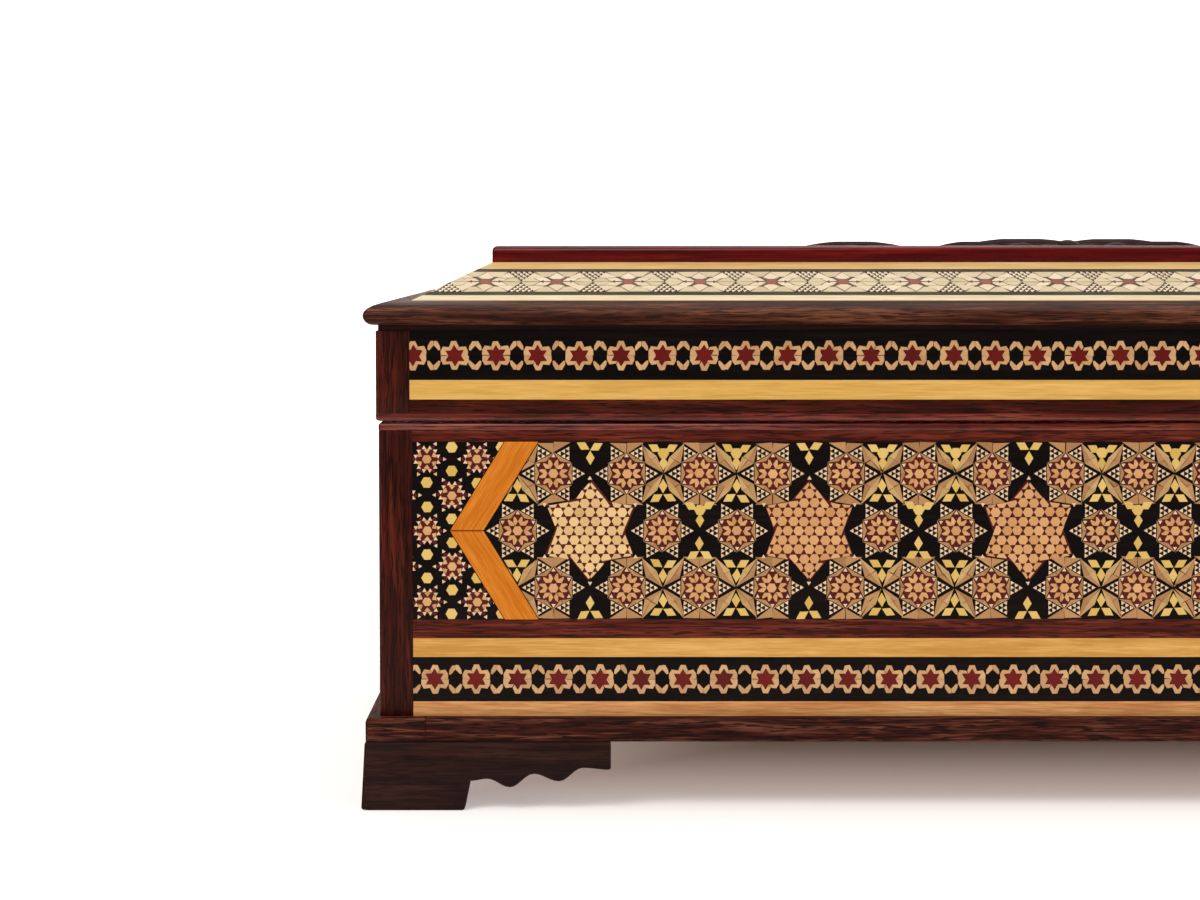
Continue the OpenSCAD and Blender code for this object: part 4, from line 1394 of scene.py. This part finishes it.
@dataclass
class Lining:
    """The padded velvet on the floor, the walls and the lid's ceiling.

    Attributes:
        crown: How far a pad swells at its middle, in millimetres.
        edge: How far in from its edge a pad curves down, in millimetres.
    """

    crown: float = 0.35
    edge: float = 2.5

    def pad(self, name: str, node: str, body: str, parts: list[tuple[Vector, Vector, int, int]],
            free: int = 0) -> None:
        """Makes the pads that replace one lining node.

        Args:
            name: Name of the piece.
            node: The CAD node.
            body: The body that it rides on.
            parts: For each pad its lowest and highest corner, the axis that it faces along and its sign.
            free: 0 when every edge curves down, 1 when only the upper one does, -1 the lower one.
        """
        bm = bmesh.new()
        for low, high, axis, sign in parts:
            self.one_pad(bm, low, high, axis, sign, free)
        bmesh.ops.recalc_face_normals(bm, faces=list(bm.faces))
        for face in bm.faces:
            face.smooth = True
        mesh = bpy.data.meshes.new(name)
        bm.to_mesh(mesh)
        bm.free()
        mesh.materials.append(FINISHES.get(VELVET))
        piece = place_piece(mesh, name, body)
        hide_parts(node)

    def one_pad(self, bm: bmesh.types.BMesh, low: Vector, high: Vector, axis: int, sign: int,
                free: int) -> None:
        """Adds one pad: a grid that curves down at its edges, closed behind.

        Args:
            bm: The mesh that takes it.
            low: Its lowest corner.
            high: Its highest corner.
            axis: The axis that its face looks along.
            sign: 1 or -1, the way it looks.
            free: 0 when every edge curves down, 1 when only the upper one does, -1 the lower one.
        """
        wide, tall = [k for k in range(3) if k != axis]
        size = high - low
        middle = (low + high) / 2
        made = bmesh.ops.create_grid(bm, x_segments=max(int(size[wide] / (3 * MM)), 6),
                                     y_segments=max(int(size[tall] / (3 * MM)), 6), size=1.0)
        thick = size[axis] / MM
        for v in made["verts"]:
            x, y = v.co.x, v.co.y
            from_edge = (1 - free * y) * size[tall] / 2 / MM
            if not free:
                from_edge = min((1 - abs(x)) * size[wide], (1 - abs(y)) * size[tall]) / 2 / MM
            rise = min(from_edge / self.edge, 1)
            fall = 1 - math.sqrt(max(1 - (1 - rise) ** 2, 0))
            nap = 0.12 * math.sin(x * 9 + y * 4) * math.sin(y * 7 - x * 3)
            swell = self.crown * (1 - x * x) * (1 - y * y) + nap * rise - self.crown
            face = thick * (1 - 0.75 * fall) + min(swell, 0)
            co = Vector((0, 0, 0))
            co[wide] = middle[wide] + x * size[wide] / 2
            co[tall] = middle[tall] + y * size[tall] / 2
            back = low[axis] if sign > 0 else high[axis]
            co[axis] = back + sign * max(face, 0.1) * MM
            v.co = co
        own = set(made["verts"])
        rim = [e for e in bm.edges if e.is_boundary and e.verts[0] in own]
        skirt = bmesh.ops.extrude_edge_only(bm, edges=rim)
        low_verts = [g for g in skirt["geom"] if isinstance(g, bmesh.types.BMVert)]
        for v in low_verts:
            v.co[axis] = low[axis] if sign > 0 else high[axis]
        bmesh.ops.contextual_create(bm, geom=[e for e in bm.edges if e.is_boundary])

    def cards(self, node: str) -> list[tuple[Vector, Vector, int, int]]:
        """Gives the four cards of a wall lining.

        Args:
            node: The CAD node.

        Returns:
            For each card its lowest and highest corner, the axis that it faces along and its sign.
        """
        low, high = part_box(node)
        thick = CARD_THICK * MM
        return [
            (low, Vector((high.x, low.y + thick, high.z)), 1, 1),
            (Vector((low.x, high.y - thick, low.z)), high, 1, -1),
            (Vector((low.x, low.y + thick, low.z)), Vector((low.x + thick, high.y - thick, high.z)), 0, 1),
            (Vector((high.x - thick, low.y + thick, low.z)), Vector((high.x, high.y - thick, high.z)),
             0, -1),
        ]

    def place(self) -> None:
        """Makes every lining."""
        self.pad("velvet_floor", "floor_pad", "base", [(*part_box("floor_pad"), 2, 1)])
        self.pad("velvet_walls", "wall_linings", "base", self.cards("wall_linings"), 1)
        self.pad("velvet_ceiling", "lid_ceiling", "lid", [(*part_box("lid_ceiling"), 2, -1)])
        self.pad("velvet_lid_walls", "lid_wall_linings", "lid", self.cards("lid_wall_linings"), -1)


@dataclass
class Studio:
    """The floor, the lights and the camera.

    Attributes:
        lens: Focal length in millimetres.
        stand: Distance of the camera from the front wall, in metres.
        aside: Distance of the camera from the middle, along the box.
        look_down: Downward tilt of the camera, in degrees.
        apron: How far the lit part of the floor reaches in front of the box's middle, in metres.
            Beyond it the floor greys off, so the polished front reflects little.
        near: How far the whole floor reaches in front.
        far: How far behind the box it turns up.
        wide: Half its width.
        rise: Height of the backdrop.
        curve: Radius of the curve between floor and backdrop.
        painted_glow: Strength of the floor's painted light, its emission beneath the box and in the open.
        painted_shadow_span: Where that emission begins and ends to rise, outwards from the box's outline;
            the dimmer emission beneath the box is a painted shadow.
    """

    lens: float = 93.0
    stand: float = 0.62
    aside: float = -0.108
    look_down: float = 3.77
    apron: float = 0.27
    near: float = 2.2
    far: float = 2.33
    wide: float = 2.4
    rise: float = 1.8
    curve: float = 0.8
    painted_glow: tuple[float, float] = (0.03, 0.42)
    painted_shadow_span: tuple[float, float] = (-0.1, 0.012)

    def floor(self) -> None:
        """Makes a white sweep: a floor that curves up into a backdrop."""
        bm = bmesh.new()
        bmesh.ops.create_grid(bm, x_segments=1, y_segments=1, size=1.0)
        bmesh.ops.scale(bm, vec=(self.wide, (self.near + self.far) / 2, 1), verts=list(bm.verts))
        bmesh.ops.translate(bm, vec=(0, (self.far - self.near) / 2, 0), verts=list(bm.verts))
        back = [e for e in bm.edges if all(v.co.y > 0 for v in e.verts)]
        raised = bmesh.ops.extrude_edge_only(bm, edges=back)
        top = [g for g in raised["geom"] if isinstance(g, bmesh.types.BMVert)]
        bmesh.ops.translate(bm, verts=top, vec=(0, 0, self.rise))
        bmesh.ops.bevel(bm, geom=back, offset=self.curve, segments=12, profile=0.5, affect="EDGES",
                        material=-1)
        for face in bm.faces:
            face.smooth = True
        mesh = bpy.data.meshes.new("studio_floor")
        bm.to_mesh(mesh)
        bm.free()
        mesh.materials.append(self.acrylic())
        floor = bpy.data.objects.new("studio_floor", mesh)
        bpy.context.scene.collection.objects.link(floor)

    def acrylic(self) -> bpy.types.Material:
        """Makes white acrylic whose emission is painted light; it fades under the box as a painted shadow,
        and far in front.

        Returns:
            The material.
        """
        material, tree, shader = Surface("white_acrylic_painted_light_and_shadow", 0.8, shine=0.1).start()
        shader.inputs["Emission Color"].default_value = linear("#fff4f0")
        size = CAD_BOUNDS[1] - CAD_BOUNDS[0]
        split = add(tree, "SeparateXYZ", {0: add(tree, "TexCoord").outputs["Object"]}).outputs
        past = []
        for axis in (0, 1):
            far = add(tree, "Math", {0: split[axis]}, operation="ABSOLUTE").outputs[0]
            past.append(add(tree, "Math", {0: far, 1: size[axis] / 2}, operation="SUBTRACT").outputs[0])
        out = add(tree, "Math", {0: past[0], 1: past[1]}, operation="MAXIMUM").outputs[0]
        # Painted shadow: the floor's emission dims from the box's outline inwards, where the box's shadow
        # would fall.
        ramp = {0: out, 1: self.painted_shadow_span[0], 2: self.painted_shadow_span[1], 3: self.painted_glow[0], 4: self.painted_glow[1]}
        painted_glow = add(tree, "MapRange", ramp, interpolation_type="SMOOTHSTEP").outputs[0]
        fade = 0.25
        lit = add(tree, "MapRange", {0: split[1], 1: -self.apron - fade, 2: -self.apron}).outputs[0]
        painted_glow = add(tree, "Math", {0: painted_glow, 1: lit}, operation="MULTIPLY").outputs[0]
        tree.links.new(painted_glow, shader.inputs["Emission Strength"])
        white = mixed(tree, lit, linear("#a8a6a5"), linear("#e8e6e5"))
        tree.links.new(white, shader.inputs["Base Color"])
        return material

    def lamp(self, name: str, at: tuple[float, float, float], size: float, watts: float,
             target: tuple[float, float, float] = (0.0, 0.0, 0.06)) -> None:
        """Hangs a square soft light.

        Args:
            name: The light's name.
            at: Its place.
            size: Length of its side.
            watts: Its power.
            target: What it faces.
        """
        light = bpy.data.lights.new(name, "AREA")
        light.size, light.energy = size, watts
        lamp = bpy.data.objects.new(name, light)
        bpy.context.scene.collection.objects.link(lamp)
        lamp.location = at
        aim = Vector(target) - Vector(at)
        lamp.rotation_euler = aim.to_track_quat("-Z", "Y").to_euler()

    def place(self) -> None:
        """Sets up the whole studio."""
        scene = bpy.context.scene
        scene.view_settings.view_transform = "Standard"
        world = bpy.data.worlds.new("studio")
        world.use_nodes = True
        background = world.node_tree.nodes["Background"]
        background.inputs["Color"].default_value = linear("#fff2e6")
        background.inputs["Strength"].default_value = 0.35
        scene.world = world
        self.floor()
        self.lamp("key", (-0.7, -1.0, 1.25), 0.9, 14.5)
        self.lamp("fill", (1.1, -1.1, 0.9), 1.0, 7.6)
        self.lamp("overhead", (0.0, 0.35, 1.5), 1.1, 10)
        self.lamp("backdrop", (0.0, 1.0, 1.2), 1.2, 26, (0.0, 2.2, 0.3))
        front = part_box("mosaic_front")[0].y
        rim_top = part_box("rim")[1].z
        lens = bpy.data.cameras.new("camera")
        lens.lens, lens.sensor_width = self.lens, 36.0
        camera = bpy.data.objects.new("camera", lens)
        scene.collection.objects.link(camera)
        camera.location = (self.aside, front - self.stand, rim_top)
        camera.rotation_euler = (math.radians(90 - self.look_down), 0, 0)
        scene.camera = camera


class Box:
    """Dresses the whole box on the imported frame."""

    CAD_FINISHES: dict[str, Surface] = {
        "mosaic_front": EBONISED, "mosaic_right": EBONISED, "mosaic_back": EBONISED,
        "mosaic_left": EBONISED, "end_mosaics": EBONISED, "base_chain_bands": EBONISED,
        "lid_chain_bands": EBONISED, "top_mosaic": EBONISED, "slope_black_lines": GREY_LINE,
        "slope_mosaic_bands": LIME, "slope_outer_strips": MAPLE, "slope_inner_strips": WARM_MAPLE,
        "top_border_strips": LEMONWOOD, "base_upper_strips": WARM_LEMONWOOD, "lid_light_strips": LEMONWOOD,
        "base_lower_strips": TONED_LEMONWOOD, "chevron_strips": ORANGE_BEECH,
        "base_top_rails": PADAUK, "base_mid_rails": PADAUK, "lid_bottom_rails": ROSEWOOD,
        "lid_quirk": WALNUT, "hinge_base_leaves": BRASS, "hinge_lid_leaves": BRASS,
        "hinge_pins": BRASS, "hinge_base_screws": BRASS, "hinge_lid_screws": BRASS,
    }

    def dress_frame(self) -> None:
        """Gives every CAD node that stays its finish; planks and panels are pine."""
        for name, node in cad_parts.items():
            finish = self.CAD_FINISHES.get(name, PINE)
            node.data.materials.clear()
            node.data.materials.append(FINISHES.get(finish))

    def ease_timber(self) -> None:
        """Replaces the timber that stands free with work whose edges are eased."""
        for corner in ("front_left", "front_right", "back_left", "back_right"):
            EasedWork("foot_" + corner, WALNUT, "base", "dark_wood", 0.5).place()
            EasedWork("post_" + corner, POST_WOOD, "base", "rosewood", 0.2).place()
        for side in ("front", "back", "left", "right"):
            EasedWork("base_frame_" + side, ROUGH_WALNUT, "base", "dark_wood", 0.25).place()
        # Both lippings take the paler padauk, a painted highlight along the seam.
        EasedWork("base_lip", LIP_WOOD_PAINTED_HIGHLIGHT, "base", "rosewood", 0.2).place()
        EasedWork("lid_lip", LIP_WOOD_PAINTED_HIGHLIGHT, "lid", "rosewood", 0.2).place()
        EasedWork("lid_posts", POST_WOOD, "lid", "rosewood", 0.2).place()
        EasedWork("lid_nosing", NOSING_WOOD, "lid", "rosewood", 0.3).place()
        EasedWork("rim", RED_BEECH, "lid", "red_wood", 0.5).place()

    def inlay_walls(self) -> None:
        """Lays the mosaics of the four walls."""
        mosaic, ends = MainMosaic(), EndMosaic()
        for side, name in enumerate(SIDES):
            panel = Inlay("inlay_" + name, mosaic.woods, "base", "mosaic", 11 + side)
            mosaic.lay_panel(panel, side)
            panel.place()
        stars = Inlay("inlay_ends", ends.woods, "base", "mosaic", 21)
        for side in range(4):
            ends.lay_ends(stars, side)
        stars.place()

    def build(self) -> None:
        """Makes every piece in order."""
        self.dress_frame()
        self.ease_timber()
        self.inlay_walls()
        ChainBand("base_chain_bands", "base", 0.18).place("chain_base", 31)
        ChainBand("lid_chain_bands", "lid", 4.35).place("chain_lid", 41)
        SlopeMosaic().place()
        TopMosaic().place()
        Carving().place()
        Lining().place()


def main() -> None:
    """Builds the studio and the box."""
    logging.basicConfig(level=logging.INFO, format="%(name)s: %(message)s")
    Studio().place()
    Box().build()


if __name__ == "__main__":
    main()
